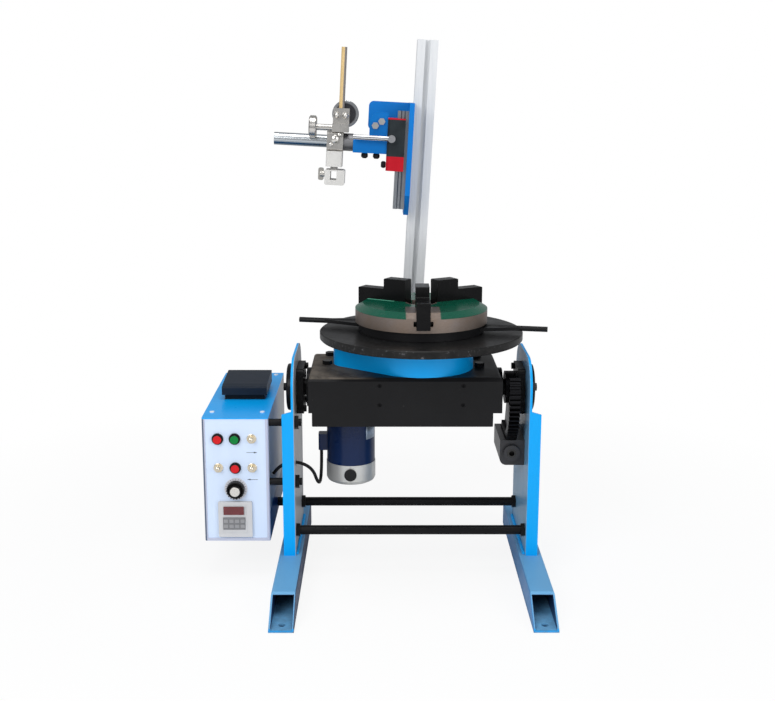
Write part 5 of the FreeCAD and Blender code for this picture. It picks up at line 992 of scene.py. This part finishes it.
class POSITIONER_OT_stand(bpy.types.Operator):
    """Finish the mast, slide, carriage, tube and torch clamp"""
    bl_idname = "positioner.stand"
    bl_label = "Torch stand"

    def execute(self, context):
        blue = paint("bracket_blue")
        dress(profile_finish(), "mast")
        dress(painted("bracket_blue", blue, 0.35, 0.1), "slide_bracket")
        dress(arm_finish(shade(blue, 0.85)), "clamp_arm")
        dress(machined("rail_steel", (0.3, 0.32, 0.35), 0.28, rust=0.1), "slide_rail")
        dress(carriage_finish(), "slide_carriage")
        dress(moulded("knob_dark", (0.012, 0.012, 0.014), 0.4),
              "clamp_knob", "outer_arm_knob", "inner_arm_knob")
        dress(chromed("lever_chrome"), "bar_lever")
        dress(tube_finish(), "torch_tube")
        dress(chromed("clamp_nickel", (0.62, 0.6, 0.57), 0.25), "cross_clamp")
        dress(rod_finish(), "torch_rod")
        side = chromed("side_knob_nickel", (0.6, 0.58, 0.55), 0.22)
        dress(side, "side_knob")
        disc = disc_knob_finish(self.stand_point(-127, 175, 438))
        dress(disc, "disc_knob")
        dress(moulded("head_white", (0.6, 0.59, 0.57), 0.4), "torch_head")
        dress(chromed("wing_nickel", (0.6, 0.58, 0.54), 0.25), "wing_screw")
        ribs = ring_of_blocks("side_knob_ribs", side.material, sizes().rib_count, 16.9 * MM,
                              (1.8 * MM, 3.4 * MM, 9 * MM))
        centre = self.stand_point(-177, 147, 416)
        turned_about(ribs, STAND_ACROSS, centre)
        new_piece("side_knob_ribs", ribs, side, "side_lock")
        rim = ring_of_blocks("disc_knob_ribs", disc.material, 3 * sizes().rib_count, 20.9 * MM,
                             (1.0 * MM, 1.6 * MM, 7 * MM))
        low, high = box("disc_knob")
        turned_about(rim, (0, 1, 0), self.stand_point(-127, (high.y - TILT_Y) / MM - 5.5, 438))
        new_piece("disc_knob_ribs", rim, disc, "rear_lock")
        self.clamp_fittings()
        return {"FINISHED"}

    def clamp_fittings(self):
        """Small nickel knobs and screws on the front of the torch clamp."""
        nickel = chromed("fitting_nickel", (0.66, 0.64, 0.61), 0.2)
        bm = bmesh.new()
        for u, w, radius, reach in ((-141, 399, 6.5, 9), (-134, 406, 3.6, 6), (-147, 390, 3.2, 4)):
            profile = [(-0.5, 0), (-0.5, radius * 0.55), (reach * 0.4, radius * 0.55),
                       (reach * 0.45, radius), (reach * 0.85, radius),
                       (reach, radius * 0.7), (reach * 1.05, 0)]
            lathe(bm, mm(*profile), self.stand_point(u, 147, w), (0, -1, 0), 8)
        new_piece("clamp_fittings", bm, nickel, "rod_clamp")

    @staticmethod
    def stand_point(u, y, w):
        """Point given in millimetres across, behind and along the leaning stand."""
        return (STAND_FOOT + STAND_ACROSS * (u * MM) + Vector((0, y * MM, 0))
                + STAND_ALONG * (w * MM))


class POSITIONER_OT_cable(bpy.types.Operator):
    """Lay the motor's cable from its outlet through the left web to the box"""
    bl_idname = "positioner.cable"
    bl_label = "Motor cable"

    def execute(self, context):
        route = [(-138, 11, 171.95), (-138, 11, 134), (-140, -32, 126),
                 (-150, -55, 168), (-192, -55, 176), (-208, -50, 153)]
        diameter = 5 * MM
        curve = bpy.data.curves.new("motor_lead", "CURVE")
        curve.dimensions = "3D"
        curve.resolution_u = 16
        line = curve.splines.new("NURBS")
        line.points.add(len(route) - 1)
        for point, spot in zip(line.points, route):
            point.co = (spot[0] * MM, spot[1] * MM + TILT_Y, spot[2] * MM, 1)
        line.order_u = 3
        line.use_endpoint_u = True
        maker = bpy.data.objects.new("motor_lead_line", curve)
        context.scene.collection.objects.link(maker)
        graph = context.evaluated_depsgraph_get()
        followed = bpy.data.meshes.new_from_object(maker.evaluated_get(graph))
        curve.bevel_depth = diameter / 2
        curve.bevel_resolution = 5
        curve.use_fill_caps = True
        context.view_layer.update()
        graph = context.evaluated_depsgraph_get()
        mesh = bpy.data.meshes.new_from_object(maker.evaluated_get(graph))
        bpy.data.objects.remove(maker)
        mesh.name = "motor_lead"
        mesh.shade_smooth()
        mesh.materials.clear()
        mesh.materials.append(moulded("lead_rubber", (0.012, 0.012, 0.013), 0.5).material)
        obj = bpy.data.objects.new("motor_lead", mesh)
        context.scene.collection.objects.link(obj)
        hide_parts("motor_cable")
        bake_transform(obj)
        return {"FINISHED"}


class POSITIONER_OT_stage(bpy.types.Operator):
    """Pale floor, soft lamps, plain world and the camera"""
    bl_idname = "positioner.stage"
    bl_label = "Stage and camera"

    def execute(self, context):
        self.floor()
        self.world(context.scene)
        self.lamps(context.scene)
        self.camera(context.scene)
        return {"FINISHED"}

    def floor(self):
        mesh = bpy.data.meshes.new("floor")
        reach = 30
        corners = [(-reach, -reach, 0), (reach, -reach, 0), (reach, reach, 0), (-reach, reach, 0)]
        mesh.from_pydata(corners, [], [(0, 1, 2, 3)])
        floor = bpy.data.objects.new("floor", mesh)
        bpy.context.scene.collection.objects.link(floor)
        pale = Finish("floor_pale", (0.9, 0.9, 0.9), 0.9)
        glow = pale.node("ShaderNodeEmission", None, {"Color": (1, 1, 1, 1), "Strength": 1.0})
        rays = pale.node("ShaderNodeLightPath")
        seen = Field(pale, rays.outputs["Is Camera Ray"])
        # Painted shadow: dark discs on the floor under the feet's bolt holes, where the floor's
        # glow is also taken away.
        left, right = (pale.disc(pale.x, pale.y, (middle(side).x, 0), 8 * MM, 1 * MM)
                       for side in ("left_foot", "right_foot"))
        painted_hole_shadow = left.most(right)
        floor_tint = pale.mix(pale.noise(3), (0.9, 0.9, 0.9), (0.93, 0.93, 0.93))
        pale.set("Base Color", pale.mix(painted_hole_shadow, floor_tint, (0.01, 0.03, 0.08)))
        near = pale.disc(pale.x, pale.y, (-0.05, TILT_Y), 0.75, 0.5)
        seen = seen * (1 - painted_hole_shadow) * (1 - near * 0.12)
        lit = pale.node("ShaderNodeMixShader", None, {
            0: seen, 1: pale.shader.outputs[0], 2: glow.outputs[0]})
        pale.tree.links.new(lit.outputs[0], pale.output.inputs["Surface"])
        mesh.materials.append(pale.material)

    def world(self, scene):
        world = bpy.data.worlds.new("studio")
        scene.world = world
        world.use_nodes = True
        nodes, links = world.node_tree.nodes, world.node_tree.links
        nodes.clear()
        output = nodes.new("ShaderNodeOutputWorld")
        soft, white, blend = (nodes.new(kind) for kind in (
            "ShaderNodeBackground", "ShaderNodeBackground", "ShaderNodeMixShader"))
        soft.inputs["Color"].default_value = (0.95, 0.97, 1, 1)
        soft.inputs["Strength"].default_value = 0.42
        white.inputs["Strength"].default_value = 1.0
        white.inputs["Color"].default_value = (1, 1, 1, 1)
        rays = nodes.new("ShaderNodeLightPath")
        links.new(rays.outputs["Is Camera Ray"], blend.inputs[0])
        links.new(soft.outputs[0], blend.inputs[1])
        links.new(white.outputs[0], blend.inputs[2])
        links.new(blend.outputs[0], output.inputs["Surface"])

    def lamps(self, scene):
        for name, spot, power, size in (
            ("key", (-1.2, -2.2, 1.7), 34, 1.4),
            ("fill", (1.6, -2.0, 1.0), 17, 1.4),
            ("top", (0.0, -0.3, 2.4), 18, 1.2),
        ):
            lamp = bpy.data.lights.new(name, "AREA")
            lamp.energy = power
            lamp.size = size
            obj = bpy.data.objects.new(name, lamp)
            obj.location = Vector(spot) + Vector((0, TILT_Y, 0))
            aim = Vector((0, 0, 0.35)) - Vector(spot)
            obj.rotation_euler = aim.to_track_quat("-Z", "Y").to_euler()
            scene.collection.objects.link(obj)

    def camera(self, scene):
        """Long lens in front of the machine, looking slightly down on it."""
        beside, before, above = -0.0448, 1.7465, 0.7213
        swing, down, roll = -0.0056, 0.2187, 0.0019
        lens = bpy.data.cameras.new("camera")
        lens.sensor_width = 36
        lens.lens = 54.38
        lens.clip_start = 0.05
        lens.clip_end = 200
        camera = bpy.data.objects.new("camera", lens)
        camera.location = (beside, TILT_Y - before, above)
        turn = (Matrix.Rotation(swing, 4, "Z") @ Matrix.Rotation(math.pi / 2 - down, 4, "X")
                @ Matrix.Rotation(roll, 4, "Z"))
        camera.rotation_euler = turn.to_euler()
        scene.collection.objects.link(camera)
        scene.view_settings.view_transform = "Standard"
        scene.camera = camera


STEPS = ("frame", "drive", "table", "control_box", "stand", "cable", "stage")


class POSITIONER_PT_pieces(bpy.types.Panel):
    """Buttons for each group of pieces"""
    bl_idname = "POSITIONER_PT_pieces"
    bl_label = "Welding positioner"
    bl_space_type = "VIEW_3D"
    bl_region_type = "UI"
    bl_category = "Positioner"

    def draw(self, context):
        for group in (context.scene.positioner_paint, context.scene.positioner_sizes):
            for name in group.bl_rna.properties.keys():
                if name not in ("rna_type", "name"):
                    self.layout.prop(group, name)
        for step in STEPS:
            self.layout.operator("positioner." + step)


CLASSES = (PositionerPaint, PositionerSizes, POSITIONER_OT_frame, POSITIONER_OT_drive,
           POSITIONER_OT_table, POSITIONER_OT_control_box, POSITIONER_OT_stand,
           POSITIONER_OT_cable, POSITIONER_OT_stage, POSITIONER_PT_pieces)


def register():
    for cls in CLASSES:
        bpy.utils.register_class(cls)
    bpy.types.Scene.positioner_paint = PointerProperty(type=PositionerPaint)
    bpy.types.Scene.positioner_sizes = PointerProperty(type=PositionerSizes)


def unregister():
    del bpy.types.Scene.positioner_sizes
    del bpy.types.Scene.positioner_paint
    for cls in reversed(CLASSES):
        bpy.utils.unregister_class(cls)


def main():
    register()
    for step in STEPS:
        getattr(bpy.ops.positioner, step)()


if __name__ == "__main__":
    main()
